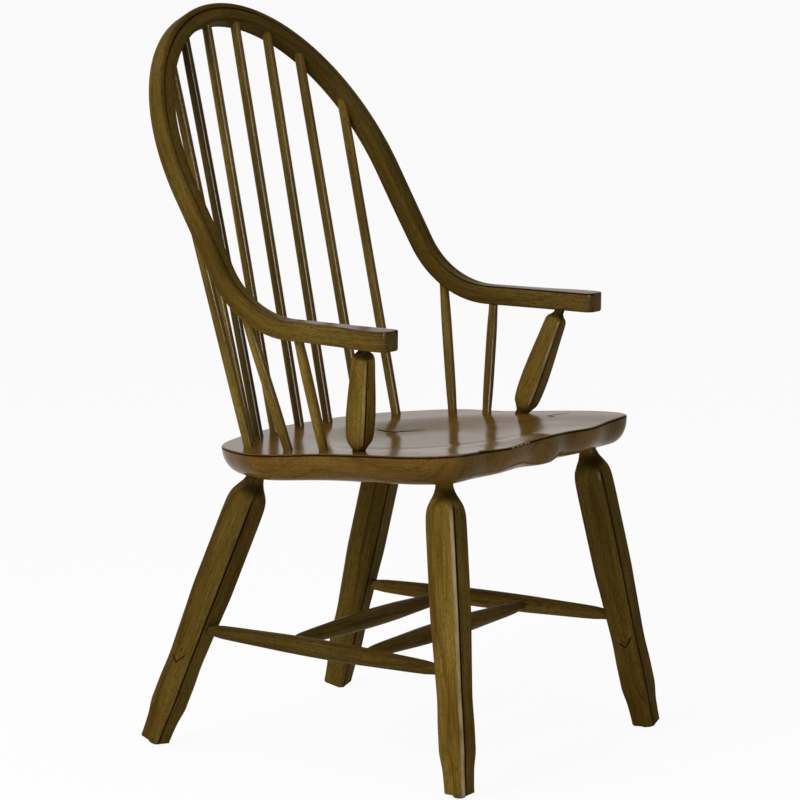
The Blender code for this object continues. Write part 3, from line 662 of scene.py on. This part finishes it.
def seat_outline():
    """Half of the seat's rim from the middle of the front to the middle of the back."""
    corners = [
        (0.0, SEAT_FRONT),
        (0.050, SEAT_FRONT + 0.005),
        (0.115, SEAT_FRONT + 0.001),
        (0.165, SEAT_FRONT + 0.007),
        (0.2257, SEAT_FRONT + 0.010),
        (0.250, SEAT_FRONT + 0.030),
        (0.262, SEAT_FRONT + 0.059),
        (SEAT_FRONT_HALF, SEAT_FRONT + 0.099),
        (SEAT_WAIST_HALF, SEAT_FRONT + 0.240),
        (SEAT_REAR_HALF, SEAT_BACK - 0.176),
        (SEAT_REAR_HALF - 0.0293, SEAT_BACK - 0.1080),
        (SEAT_REAR_HALF - 0.087, SEAT_BACK - 0.0455),
        (0.100, SEAT_BACK - 0.0135),
        (0.0, SEAT_BACK),
    ]
    points = [Vector(corner) for corner in corners]
    mirrored = [Vector((-point.x, point.y)) for point in points]
    whole = [mirrored[1]] + points + [mirrored[-2]]
    fine = []
    for before, start, end, after in zip(whole, whole[1:], whole[2:], whole[3:]):
        reach = (end - start).length
        leaving = (end - before).normalized() * reach
        arriving = (after - start).normalized() * reach
        for step in range(OUTLINE_STEPS):
            fine.append(cubic(start, end, leaving, arriving, step / OUTLINE_STEPS))
    fine.append(points[-1])
    return evenly(fine, SEAT_POINTS)


# Marks of use on the seat's top, as places on the plank
GOUGE_DEPTH = 0.0010
GOUGE = ((0.0494, 0.0432), (0.0490, 0.0248), (0.0601, 0.0105), (0.0728, -0.0027), (0.0827, -0.0179))
TICK = ((0.1950, -0.1790), (0.2015, -0.1656), (0.2338, -0.1815))
NOTCHES = (-0.1100, -0.0960, -0.0850, -0.0720, -0.0613)
NOTCH_DEPTH = 0.0012
MARK_INSET = 0.8  # how far a mark on the rim runs inward, as a share of its depth
MARKED_FRONT = 0.04  # how far back from the front such marks reach
RIM_SHADE_LINE = 0.95  # how dark the painted shade line along and under the top's edge is
CHIP_START = -0.1900
CHIP_RUN = 0.060
CHIP_DEPTH = 0.0026
CHIP_RAISED = 0.4  # the share of its step that stands up beside it


def from_line(point, chain):
    """Distance from a point to a chain of points."""
    nearest = 1.0
    for start, end in zip(chain, chain[1:]):
        start, end = Vector(start), Vector(end)
        along = end - start
        share = max(0.0, min(1.0, (point - start).dot(along) / along.length_squared))
        nearest = min(nearest, (point - start.lerp(end, share)).length)
    return nearest


def seat_surface(across, along):
    out = math.hypot(across / DISH_HALF_WIDTH, (along - DISH_CENTRE) / DISH_HALF_LENGTH)
    dish = -DISH_DEPTH * (1.0 - smoothstep(0.35, 1.0, out))
    at_front = smoothstep(SEAT_FRONT + 0.09, SEAT_FRONT + 0.02, along)
    prow = PROW_RISE * math.exp(-((across / PROW_RISE_WIDTH) ** 2))
    thigh = THIGH_DROP * math.exp(-(((abs(across) - THIGH_PLACE) / THIGH_WIDTH) ** 2))
    beside = smoothstep(RIM_START_HALF, RIM_FULL_HALF, abs(across))
    rim = RIM_RISE * beside * smoothstep(RIM_REAR, RIM_FRONT, along)
    return dish + at_front * (prow - thigh) + rim


def seat_grain(place):
    """The boards run front to back, their growth rings centred well below."""
    return Vector((place.x + 0.03, place.z + 0.045, place.y))


def seat_scratches():
    found = []
    for chain, width in ((GOUGE, 0.0042), (TICK, 0.0034)):
        places = [seat_grain(Vector((*place, seat_surface(*place)))) for place in chain]
        found += [(start, end, width) for start, end in zip(places, places[1:])]
    return found


seat_wood = wood_look(
    "seat_wood",
    (0.178, 0.098, 0.016, 1),
    (0.070, 0.036, 0.005, 1),
    {"rings": 0.08, "pores": 0.50, "waves": 1.4, "coat": 0.90, "polish": 0.18},
    seat_scratches(),
)


def build_seat():
    half = seat_outline()
    rim = half + [Vector((-point.x, point.y)) for point in half[-2:0:-1]]
    count = len(rim)
    centre = Vector((0.0, DISH_CENTRE))
    inward = []
    for i in range(count):
        along = (rim[(i + 1) % count] - rim[i - 1]).normalized()
        inward.append(Vector((-along.y, along.x)))
    loops = []

    def add(ring, heights, glaze, wear=None):
        loop = []
        for point, height, stain_and_shade, rubbed_and_highlit in zip(ring, heights, glaze, wear or [0.0] * count):
            place = Vector((point.x, point.y, height))
            loop.append(Point(SEAT_PLACE @ place, seat_grain(place), stain_and_shade, rubbed_and_highlit))
        loops.append(loop)

    shares = [0.02] + [step / SEAT_RINGS for step in range(2, SEAT_RINGS)] + [0.99]
    for share in shares:
        ring = [centre.lerp(point, share) for point in rim]
        heights = []
        for point in ring:
            cut = smoothstep(0.0060, 0.0010, from_line(point, GOUGE))
            heights.append(seat_surface(point.x, point.y) - GOUGE_DEPTH * cut)
        add(ring, heights, [0.0] * count)
    for turn in range(90, -1, -18):
        angle = math.radians(turn)
        ring, heights, glaze, wear = [], [], [], []
        for point, side in zip(rim, inward):
            front = point.y < SEAT_FRONT + MARKED_FRONT
            past = point.x - CHIP_START
            chip = front * CHIP_DEPTH * smoothstep(CHIP_RUN, 0.0, abs(past))
            chip *= CHIP_RAISED - smoothstep(-0.001, 0.001, past)
            nearest = min(abs(point.x - place) for place in NOTCHES)
            nick = front * smoothstep(0.0035, 0.0010, nearest)
            edge_mark = chip + nick * NOTCH_DEPTH
            inset = SEAT_EDGE_RADIUS * (1 - math.cos(angle))
            below = SEAT_EDGE_RADIUS * (1 - math.sin(angle))
            ring.append(point + side * (inset + max(0.0, edge_mark) * MARK_INSET * math.sin(angle)))
            heights.append(seat_surface(point.x, point.y) - below - edge_mark * math.sin(angle))
            # Painted shade on the lower part of the rounded top edge, left out at the nicks
            glaze.append(RIM_SHADE_LINE * smoothstep(50, 15, turn) * (1.0 - nick))
            wear.append(nick)
        add(ring, heights, glaze, wear)
    for turn in [1.0, 2.2] + [step * 90 / SIDE_RINGS for step in range(1, SIDE_RINGS + 1)]:
        angle = math.radians(turn)
        fall = SEAT_EDGE_RADIUS + (SEAT_THICKNESS - SEAT_EDGE_RADIUS) * math.sin(angle)
        ring, heights = [], []
        for point, side in zip(rim, inward):
            at_prow = smoothstep(PROW_HALF * 2.8, PROW_HALF * 0.4, abs(point.x)) * (point.y < 0)
            undercut = SEAT_UNDERCUT + (PROW_UNDERCUT - SEAT_UNDERCUT) * at_prow
            ring.append(point + side * undercut * (1 - math.cos(angle) ** SEAT_SIDE_FULLNESS))
            heights.append(seat_surface(point.x, point.y) * (1 - math.sin(angle)) - fall)
        # Painted shade just under the rounded edge
        add(ring, heights, [RIM_SHADE_LINE * smoothstep(2.6, 0.6, turn)] * count)
    drawn("seat", loops, seat_wood)


# Bow

LEAN_ALONG = Vector((0, math.sin(BACK_LEAN), math.cos(BACK_LEAN)))
ARM_ALONG = Vector((0, math.cos(ARM_PITCH), math.sin(ARM_PITCH)))
CROSSING = Vector((0, BACK_CROSSING, ARM_HEIGHT))
BEND_TURN = math.pi / 2 - BACK_LEAN - ARM_PITCH
BEND_TANGENT = BEND_RADIUS * math.tan(BEND_TURN / 2)
BEND_START = (BACK_CROSSING - ARM_TIP) / math.cos(ARM_PITCH) - BEND_TANGENT
BEND_END = BEND_START + BEND_RADIUS * BEND_TURN
SPRING = BEND_END + (SPRING_HEIGHT - ARM_HEIGHT) / math.cos(BACK_LEAN) - BEND_TANGENT
ARCH_RISE = (CREST_HEIGHT - SPRING_HEIGHT) / math.cos(BACK_LEAN)


def bow_line(distance):
    """Point on the arm's top or the back's face, and the direction into the wood there."""
    if distance < BEND_START:
        point = CROSSING + ARM_ALONG * (distance - BEND_START - BEND_TANGENT)
        turn = ARM_PITCH
    elif distance < BEND_END:
        start = CROSSING - ARM_ALONG * BEND_TANGENT
        middle = start + Vector((0, -math.sin(ARM_PITCH), math.cos(ARM_PITCH))) * BEND_RADIUS
        turn = ARM_PITCH + (distance - BEND_START) / BEND_RADIUS
        point = middle + Vector((0, math.sin(turn), -math.cos(turn))) * BEND_RADIUS
    else:
        point = CROSSING + LEAN_ALONG * (distance - BEND_END + BEND_TANGENT)
        turn = math.pi / 2 - BACK_LEAN
    return point, Vector((0, math.sin(turn), -math.cos(turn)))


def on_bow(across, distance, depth):
    point, inward = bow_line(distance)
    return Vector((across, 0, 0)) + point + inward * depth


def bow_thickness(distance):
    share = smoothstep(BEND_START, BEND_END, distance)
    return ARM_THICKNESS + (BOW_THICKNESS - ARM_THICKNESS) * share


def arm_edges(distance):
    outer, inner = through(ARM_FLARE, distance)
    return BOW_HALF_WIDTH + outer, BOW_HALF_WIDTH - BOW_SIDE_WIDTH + inner


def arch_edges(angle):
    inner_half = BOW_HALF_WIDTH - BOW_SIDE_WIDTH
    inner_rise = ARCH_RISE - BOW_CREST_WIDTH
    outer = (BOW_HALF_WIDTH * math.cos(angle), SPRING + ARCH_RISE * math.sin(angle))
    inner = (inner_half * math.cos(angle), SPRING + inner_rise * math.sin(angle))
    return outer, inner


def bow_section(width, thickness, score):
    """The bow's outline as (distance from the outer edge, depth, painted shade on the rounded edges
    and in the score groove).
    """
    radius = BOW_EDGE_RADIUS
    corners = (
        (radius, radius, 180, 0.15),
        (width - radius, radius, 270, 0.35),
        (width - radius, thickness - radius, 0, 0.35),
        (radius, thickness - radius, 90, 0.25),
    )
    # Painted shade in the score groove
    groove_shade = score / SCORE_DEPTH
    outline = []
    for place, depth, start, stain_and_shade in corners:
        for turn in (0, 18, 36, 54, 72, 90):
            angle = math.radians(start + turn)
            # Painted shade on the rounded edges, darkest halfway round
            edge_shade = stain_and_shade * math.sin(math.radians(turn * 2)) ** 2
            outline.append(
                (place + radius * math.cos(angle), depth + radius * math.sin(angle), edge_shade)
            )
        if start == 180:
            half = SCORE_WIDTH / 2
            for step in range(-3, 4):
                share = abs(step) / 3
                sunk = score * (1 - share * share)
                outline.append((BEAD_WIDTH + half * step / 3, sunk, groove_shade * (1 - share) ** 0.5))
            outline.append((width * 0.45, 0.0, 0.0))
            outline.append((width * 0.62, 0.0, 0.0))
        if start == 0:
            outline += [(width * share, thickness, 0.0) for share in (0.7, 0.5, 0.3)]
        if start == 270:
            outline += [(width, thickness * share, 0.0) for share in (0.35, 0.5, 0.65)]
    outline += [(0.0, thickness * share, 0.0) for share in (0.65, 0.5, 0.35)]
    return outline


def bow_loop(outer, inner, reached, side):
    outer, inner = Vector(outer), Vector(inner)
    toward = inner - outer
    middle = (outer.y + inner.y) / 2
    score = SCORE_DEPTH * smoothstep(SCORE_START, SCORE_FULL, middle)
    end_glaze = HAND_GLAZE * smoothstep(0.02, 0.0, middle)
    arm = smoothstep(0.32, 0.20, middle)
    loop = []
    for place, depth, stain_and_shade in bow_section(toward.length, bow_thickness(middle), score):
        # More painted shade on the arms' top edges
        if depth < BOW_EDGE_RADIUS:
            stain_and_shade += ARM_EDGE_SHADE * arm * stain_and_shade
        across, distance = outer + toward.normalized() * place
        point = on_bow(side * across, distance, depth)
        grain = Vector((place + 0.31, depth + 0.17, side * reached))
        loop.append(Point(point, grain, min(1.0, stain_and_shade + end_glaze)))
    return loop


def bow_edges():
    """Outer and inner edges from the left arm's tip to the crest."""
    edges = []
    for turn in range(0, 90, 10):
        angle = math.radians(turn)
        distance = HAND_CORNER_RADIUS * (1 - math.cos(angle))
        inset = HAND_CORNER_RADIUS * (1 - math.sin(angle))
        outer, inner = arm_edges(distance)
        edges.append(((outer - inset, distance), (inner + inset, distance)))
    distance = HAND_CORNER_RADIUS
    while distance < SPRING:
        outer, inner = arm_edges(distance)
        edges.append(((outer, distance), (inner, distance)))
        distance += FINE_STEP
    return edges + [arch_edges(math.radians(step)) for step in range(0, 91)]


def build_bow():
    edges = bow_edges()
    reached = [0.0]
    for before, after in zip(edges, edges[1:]):
        step = (Vector(after[0]) + Vector(after[1]) - Vector(before[0]) - Vector(before[1])) / 2
        reached.append(reached[-1] + step.length)
    whole = reached[-1]
    left = [bow_loop(*pair, whole - at, 1) for pair, at in zip(edges, reached)]
    right = [bow_loop(*pair, whole - at, -1) for pair, at in zip(edges, reached)]
    drawn("bow", left + right[-2::-1], stained_wood)


# Straight pieces


def faceted(side, chamfer, roundness):
    """A ring of points between a square with softened corners and, at roundness 1, a circle.
    Each point comes with its place at the corner: 0 on the middle of a chamfer, 1 or -1 on its
    edges, and more on the faces beside it."""
    half = side / 2
    cut = half - chamfer
    edge = math.degrees(math.atan2(cut, half))
    turns = [0, 0.4 * edge, 0.75 * edge, edge - 4, edge - 2, edge, edge + 2]
    turns += [45] + [90 - turn for turn in turns[:0:-1]]
    ring = []
    for quarter in range(4):
        for turn in turns:
            angle = math.radians(turn)
            x, y = math.cos(angle), math.sin(angle)
            flat = half / max(x, y) / EDGE_SOFTNESS
            slant = (half + cut) / (x + y) / EDGE_SOFTNESS
            reach = -math.log(math.exp(-flat) + math.exp(-slant)) * EDGE_SOFTNESS
            reach += (half - reach) * roundness
            turned_by = angle + quarter * math.pi / 2
            corner = (turn - 45) / (45 - edge)
            ring.append((reach * math.cos(turned_by), reach * math.sin(turned_by), corner))
    return ring


# Painted shade line beside the outer front chamfer: where it lies and how far it reaches
SHADE_LINE_PLACE = 1.4  # at a corner, as faceted counts it
SHADE_LINE_REACH = (0.65, 0.30)
# Share of the wear and painted highlight on the chamfers other than the outer front one
INNER_WEAR_AND_HIGHLIGHT = 0.6


def arris(corner, x, y):
    """Painted shade: a dark line beside the chamfer of the outer front corner; and the lighter line
    along each chamfer, part wear and part painted highlight, strongest on that corner.
    """
    outer = x < 0 and y < 0
    shade_line = smoothstep(*SHADE_LINE_REACH, abs(corner - SHADE_LINE_PLACE)) if outer else 0.0
    return shade_line, smoothstep(1.3, 0.6, abs(corner)) * (1.0 if outer else INNER_WEAR_AND_HIGHLIGHT)


def faceted_piece(node, stations, chamfer, start, end, stain_and_shade, seed, twist=0.0, cut=None):
    """A straight piece of (distance, side, roundness) stations, its faces square to the chair
    before the twist; stain gives glaze with painted shade, and wear with a painted highlight, by
    distance and place at a corner."""
    place = facing(start, end) @ Matrix.Rotation(math.radians(twist), 4, "Z")
    along = (end - start).normalized()
    distances = []
    distance = stations[0][0]
    while distance < stations[-1][0]:
        distances.append(distance)
        distance += FINE_STEP
    loops = []
    for distance in distances + [stations[-1][0]]:
        side, roundness = through(stations, distance)
        loop = []
        for x, y, corner in faceted(side, chamfer, roundness):
            point = place @ Vector((x, y, distance))
            if cut and not loops:
                point -= along * ((point - start).dot(cut) / along.dot(cut))
            grain = wood_place(x, y, distance, seed)
            loop.append(Point(point, grain, *stain_and_shade(distance, corner, x, y)))
        loops.append(loop)
    drawn(node, loops, stained_wood)


def spindle_profile(length, lower, upper, body, tenon):
    swell = min(SPINDLE_SWELL, (length - lower - upper) / 3)
    steps = [(0.0, tenon), (swell * 0.5, tenon + (body - tenon) * 0.7), (swell, body)]
    rising = [(lower + past, radius) for past, radius in steps]
    falling = [(length - upper - past, radius) for past, radius in steps[::-1]]
    return [(0.0, tenon)] + rising + falling + [(length, tenon)]


def between(seat, bow, face, bow_depth):
    """The ends of a piece from seat to bow, and how long it is thin at each."""
    axis = (bow - seat).normalized()
    reach = bow_depth / axis.dot(face)
    start = seat - axis * SEAT_SOCKET_DEPTH
    return start, bow + axis * reach, SEAT_SOCKET_DEPTH + SEAT_RUN, reach + BOW_RUN


def spindle_glaze(length, lower, upper):
    def glaze(height):
        foot = smoothstep(lower + 0.010, lower - 0.006, height)
        head = smoothstep(length - upper - 0.004, length - upper + 0.006, height)
        return max(0.25 * foot, 0.15 * head)

    return glaze


def build_spindle(name, start, end, lower, upper, body, tenon, seed):
    length = (end - start).length
    profile = spindle_profile(length, lower, upper, body, tenon)
    glaze = spindle_glaze(length, lower, upper)
    turned(name, profile, start, end, glaze, seed)


def build_spindles():
    row_centre = SEAT_BACK - SPINDLE_ROW_INSET - SPINDLE_ROW_RADIUS
    inner_half = BOW_HALF_WIDTH - BOW_SIDE_WIDTH
    inner_rise = ARCH_RISE - BOW_CREST_WIDTH
    places = list(zip(SPINDLE_SEAT_ANGLES, SPINDLE_BOW_PLACES))
    row = [(-1, place) for place in places[::-1]] + [(1, place) for place in places]
    for number, (side, (at_seat, (at_bow, past))) in enumerate(row, start=1):
        angle = math.radians(at_seat)
        seat = seat_point(
            side * SPINDLE_ROW_RADIUS * math.sin(angle),
            row_centre + SPINDLE_ROW_RADIUS * math.cos(angle),
        )
        angle = math.radians(90 - at_bow)
        _, (across, distance) = arch_edges(angle)
        face = Vector((side * inner_rise * math.cos(angle), 0, 0))
        face = (face + LEAN_ALONG * (inner_half * math.sin(angle))).normalized()
        aim = on_bow(side * across, distance, BOW_THICKNESS / 2) + face * past
        axis = (aim - seat).normalized()
        bow = aim - axis * (past / axis.dot(face))
        ends = between(seat, bow, face, BOW_SOCKET_DEPTH)
        build_spindle(
            f"back_spindle_{number}", *ends, SPINDLE_RADIUS, SPINDLE_TENON_RADIUS, number * 0.53
        )


def seat_to_arm(side, at_seat, at_arm, depth):
    """What between gives under an arm, from places by the seat's rim and the arm's inner edge."""
    seat = seat_point(side * (SEAT_REAR_HALF - at_seat[0]), SEAT_FRONT + at_seat[1])
    inset, distance = at_arm
    _, inner = arm_edges(distance)
    _, inward = bow_line(distance)
    arm = on_bow(side * (inner + inset), distance, bow_thickness(distance))
    return between(seat, arm, -inward, depth)


def build_arm_spindles():
    for side_name, side in SIDES.items():
        for place, (at_seat, at_arm) in ARM_SPINDLE_PLACES.items():
            ends = seat_to_arm(side, at_seat, at_arm, BOW_SOCKET_DEPTH)
            seed = 5.1 + side * 0.9 + at_seat[1]
            name = f"arm_spindle_{place}_{side_name}"
            build_spindle(name, *ends, ARM_SPINDLE_RADIUS, ARM_SPINDLE_TENON_RADIUS, seed)


def build_posts():
    for side_name, side in SIDES.items():
        start, end, lower, upper = seat_to_arm(side, *POST_PLACE, POST_TENON_DEPTH)
        length = (end - start).length
        top = length - upper
        stations = [(0.0, 2 * POST_LOWER_NECK, 1.0), (lower, 2 * POST_LOWER_NECK, 1.0)]
        stations += [(lower + up, section, about) for up, section, about in POST_LOWER_SIDES]
        stations += [(top - down, section, about) for down, section, about in POST_UPPER_SIDES]
        stations += [(top, 2 * POST_UPPER_NECK, 1.0), (length, 2 * POST_UPPER_NECK, 1.0)]

        def stain_and_shade(distance, corner, x, y):
            foot = smoothstep(lower + 0.009, lower + 0.002, distance)
            head = smoothstep(top - 0.011, top - 0.005, distance)
            body = smoothstep(lower + 0.004, lower + 0.014, distance)
            body *= smoothstep(top - 0.006, top - 0.016, distance)
            # Painted shade line by the outer front chamfer, and wear along the chamfers that is
            # partly a painted highlight
            shade_line, rubbed_and_highlit = arris(corner, x, y)
            return max(0.60 * foot, 0.70 * head, 0.85 * shade_line * body), 0.50 * rubbed_and_highlit * body

        node = f"arm_post_{side_name}"
        faceted_piece(node, stations, POST_CHAMFER, start, end, stain_and_shade, 8.3 + side)


# Legs and what joins them


def glide_drop(tilt):
    flat = GLIDE_RADIUS - GLIDE_EDGE
    return GLIDE_EDGE + (GLIDE_HEIGHT - GLIDE_EDGE) * math.cos(tilt) + flat * math.sin(tilt)


def leg_lines():
    lines = {}
    for end, inset, splay, edge in (
        ("front", FRONT_LEG_INSET, FRONT_LEG_SPLAY, SEAT_FRONT),
        ("back", BACK_LEG_INSET, BACK_LEG_SPLAY, SEAT_BACK),
    ):
        half = SEAT_FRONT_HALF if end == "front" else SEAT_REAR_HALF
        outward = math.copysign(1, edge)
        along = edge - outward * inset[1]
        for side_name, side in SIDES.items():
            name = f"{end}_{side_name}"
            top = seat_point(side * (half - inset[0]), along, SEAT_THICKNESS)
            rise_across, rise_along = FOOT_RISE[name]
            cut = Vector((-side * rise_across, -outward * rise_along, 1)).normalized()
            height = glide_drop(cut.angle(Vector((0, 0, 1))))
            lines[name] = (Vector((top.x + side * splay[0], top.y + splay[1], height)), top, cut)
    return lines


def leg_stations(length, stoutness):
    neck = 2 * LEG_NECK_RADIUS
    stations = [(up, side * stoutness, 0.0) for up, side in LEG_LOWER_SIDES]
    stations += [(length * share, side * stoutness, 0.0) for share, side in LEG_MIDDLE_SIDES]
    for down, side, about in LEG_UPPER_SIDES:
        stations.append((length - down, neck + (side - neck) * stoutness, about))
    return stations + [(length - LEG_NECK_LENGTH, neck, 1.0), (length + LEG_TENON_DEPTH, neck, 1.0)]


def build_legs(lines):
    for name, (foot, top, cut) in lines.items():
        length = (top - foot).length
        stations = leg_stations(length, LEG_STOUTNESS[name.split("_")[0]])

        def stain_and_shade(distance, corner, x, y):
            neck = smoothstep(0.018, 0.002, abs(distance - length + 0.021))
            neck *= 0.30 + 0.40 * smoothstep(0.2, 0.95, -(x + y) / math.hypot(x, y) / 2**0.5)
            base = smoothstep(0.006, 0.0, distance)
            body = smoothstep(length - 0.025, length - 0.045, distance)
            # Painted shade line by the outer front chamfer, and wear along the chamfers that is
            # partly a painted highlight
            shade_line, rubbed_and_highlit = arris(corner, x, y)
            edge_mark = LEG_WEAR_AND_HIGHLIGHT[name] * rubbed_and_highlit * body
            # Painted shade: the front face of a front leg is painted darker
            face = LEG_FRONT_SHADE.get(name, 0.0) * smoothstep(0.002, LEG_CHAMFER, -y - abs(x))
            return max(neck, 0.3 * base, face * body, 0.90 * shade_line * body), edge_mark

        end = top + (top - foot).normalized() * LEG_TENON_DEPTH
        node, seed, twist = f"leg_{name}", LEG_SEEDS[name], LEG_TWIST[name]
        faceted_piece(node, stations, LEG_CHAMFER, foot, end, stain_and_shade, seed, twist, cut)
        build_glide(name, foot, cut)


def build_glide(name, foot, cut):
    flat = GLIDE_RADIUS - GLIDE_EDGE
    outline = [(0.0, 0.0), (flat, 0.0)]
    for turn in range(10, 91, 10):
        angle = math.radians(turn)
        height = GLIDE_EDGE * (1 - math.cos(angle))
        outline.append((flat + GLIDE_EDGE * math.sin(angle), height))
    outline += [(GLIDE_RADIUS, GLIDE_HEIGHT), (0.0, GLIDE_HEIGHT)]
    shape = bmesh.new()
    grain = shape.verts.layers.float_vector.new("grain")
    spun(shape, outline)
    for corner in shape.verts:
        corner[grain] = corner.co
    start = foot - cut * GLIDE_HEIGHT
    bmesh.ops.transform(shape, matrix=facing(start, start + cut), verts=shape.verts)
    installed(finished(f"glide_{name}_disc", shape), f"glide_{name}", glide_plastic)


def at_height(line, height):
    foot, top, _ = line
    return foot.lerp(top, (height - foot.z) / (top.z - foot.z))


def stretcher_profile(length, tenon, near, middle, end_run):
    half = length / 2
    rise = half - end_run
    lower = [
        (0.0, tenon),
        (end_run, tenon),
        (end_run + rise * 0.10, near),
        (end_run + rise * 0.45, near + (middle - near) * 0.55),
        (end_run + rise * 0.75, near + (middle - near) * 0.92),
    ]
    upper = [(length - distance, radius) for distance, radius in lower[::-1]]
    return lower + [(half, middle)] + upper


def build_stretchers(lines):
    axes = {}
    for number, side_name in enumerate(SIDES):
        start = at_height(lines[f"front_{side_name}"], STRETCHER_FRONT_HEIGHT)
        end = at_height(lines[f"back_{side_name}"], STRETCHER_BACK_HEIGHT)
        length = (end - start).length
        radii = (STRETCHER_END_RADIUS, STRETCHER_NEAR_LEG_RADIUS, SIDE_STRETCHER_RADIUS)
        profile = stretcher_profile(length, *radii, STRETCHER_RUN)
        glaze = spindle_glaze(length, STRETCHER_RUN, STRETCHER_RUN)
        turned(f"side_stretcher_{side_name}", profile, start, end, glaze, 11.4 + number)
        axes[side_name] = (start, end)
    for place, offset in (("front", -CROSS_HALF_SPACING), ("back", CROSS_HALF_SPACING)):
        ends = []
        for start, end in axes.values():
            along = (end - start).normalized()
            ends.append(start.lerp(end, 0.5) + along * offset)
        length = (ends[1] - ends[0]).length
        radii = (CROSS_END_RADIUS, CROSS_NEAR_RADIUS, CROSS_STRETCHER_RADIUS)
        profile = stretcher_profile(length, *radii, CROSS_RUN)
        glaze = spindle_glaze(length, CROSS_RUN, CROSS_RUN)
        turned(f"cross_stretcher_{place}", profile, *ends, glaze, 14.7 + offset)


build_seat()
build_bow()
build_spindles()
build_arm_spindles()
build_posts()
leg_places = leg_lines()
build_legs(leg_places)
build_stretchers(leg_places)

# Studio

CAMERA_PLACE = (-4.67791694, -3.12858896, 1.32317723)
CAMERA_TURN = -56.4773
CAMERA_PITCH = -8.2105
LENS = 171.269
FLOOR_REACH = 70.0
FLOOR_SHADE = 0.80
FLOOR_WHITENESS = 0.93  # the share of plain white in the floor as the camera sees it
WORLD_LIGHT = 0.32
AIM = (0, 0, 0.5)
# Each light's place, width, height and power; the shine only shows in the lacquer
SOFTBOXES = {
    "key_softbox": ((-3.3, 0.4, 2.5), 1.4, 1.6, 95.0),
    "top_softbox": ((-0.4, 0.8, 3.4), 2.0, 2.0, 30.0),
    "shine_softbox": ((-1.75, -4.9, 1.45), 1.8, 1.7, 1300.0),
}


def build_floor():
    shape = bmesh.new()
    bmesh.ops.create_grid(shape, x_segments=8, y_segments=8, size=FLOOR_REACH)
    floor = finished("studio_floor", shape)
    look = Look("studio_floor")
    camera_ray = look.node("ShaderNodeLightPath", output="Is Camera Ray")
    glossy_ray = look.node("ShaderNodeLightPath", output="Is Glossy Ray")
    seen = camera_ray.or_more(glossy_ray)
    glow = look.node("ShaderNodeEmission", {}, {"Color": (1, 1, 1, 1), "Strength": 1.0})
    look.shade({"Base Color": (FLOOR_SHADE, FLOOR_SHADE, FLOOR_SHADE, 1), "Roughness": 0.9})
    share = look.between(seen, 0.0, 1.0, 0.0, FLOOR_WHITENESS)
    mixed = look.node(
        "ShaderNodeMixShader", {}, {0: share, 1: Wire(look, look.shader.outputs[0]), 2: glow}
    )
    output = look.tree.nodes["Material Output"]
    look.tree.links.new(mixed.socket, output.inputs["Surface"])
    floor.data.materials.append(look.made)


def build_world():
    world = bpy.data.worlds.new("studio")
    bpy.context.scene.world = world
    world.use_nodes = True
    nodes, links = world.node_tree.nodes, world.node_tree.links
    path = nodes.new("ShaderNodeLightPath")
    seen = path.outputs["Is Camera Ray"]
    for ray in ("Is Transmission Ray", "Is Glossy Ray"):
        either = nodes.new("ShaderNodeMath")
        either.operation = "MAXIMUM"
        links.new(seen, either.inputs[0])
        links.new(path.outputs[ray], either.inputs[1])
        seen = either.outputs[0]
    plain = nodes["Background"]
    white = nodes.new("ShaderNodeBackground")
    for background, strength in ((plain, WORLD_LIGHT), (white, 1.0)):
        background.inputs["Color"].default_value = (1, 1, 1, 1)
        background.inputs["Strength"].default_value = strength
    mix = nodes.new("ShaderNodeMixShader")
    links.new(seen, mix.inputs[0])
    links.new(plain.outputs[0], mix.inputs[1])
    links.new(white.outputs[0], mix.inputs[2])
    links.new(mix.outputs[0], nodes["World Output"].inputs["Surface"])


def softbox(name, place, width, height, power):
    light = bpy.data.lights.new(name, "AREA")
    light.shape = "RECTANGLE"
    light.size = width
    light.size_y = height
    light.energy = power
    lamp = bpy.data.objects.new(name, light)
    bpy.context.scene.collection.objects.link(lamp)
    aim = Vector(AIM) - Vector(place)
    turn = aim.to_track_quat("-Z", "Y").to_matrix().to_4x4()
    lamp.matrix_world = Matrix.Translation(place) @ turn
    return lamp


def build_camera():
    lens = bpy.data.cameras.new("camera")
    lens.lens = LENS
    lens.sensor_width = 36.0
    lens.sensor_fit = "HORIZONTAL"
    lens.clip_end = 100.0
    camera = bpy.data.objects.new("camera", lens)
    bpy.context.scene.collection.objects.link(camera)
    turn = Matrix.Rotation(math.radians(CAMERA_TURN), 4, "Z")
    tilt = Matrix.Rotation(math.radians(90.0 + CAMERA_PITCH), 4, "X")
    camera.matrix_world = Matrix.Translation(CAMERA_PLACE) @ turn @ tilt
    bpy.context.scene.camera = camera


build_floor()
build_world()
lamps = {name: softbox(name, *settings) for name, settings in SOFTBOXES.items()}
lamps["shine_softbox"].visible_diffuse = False
build_camera()
bpy.context.scene.view_settings.view_transform = "Standard"
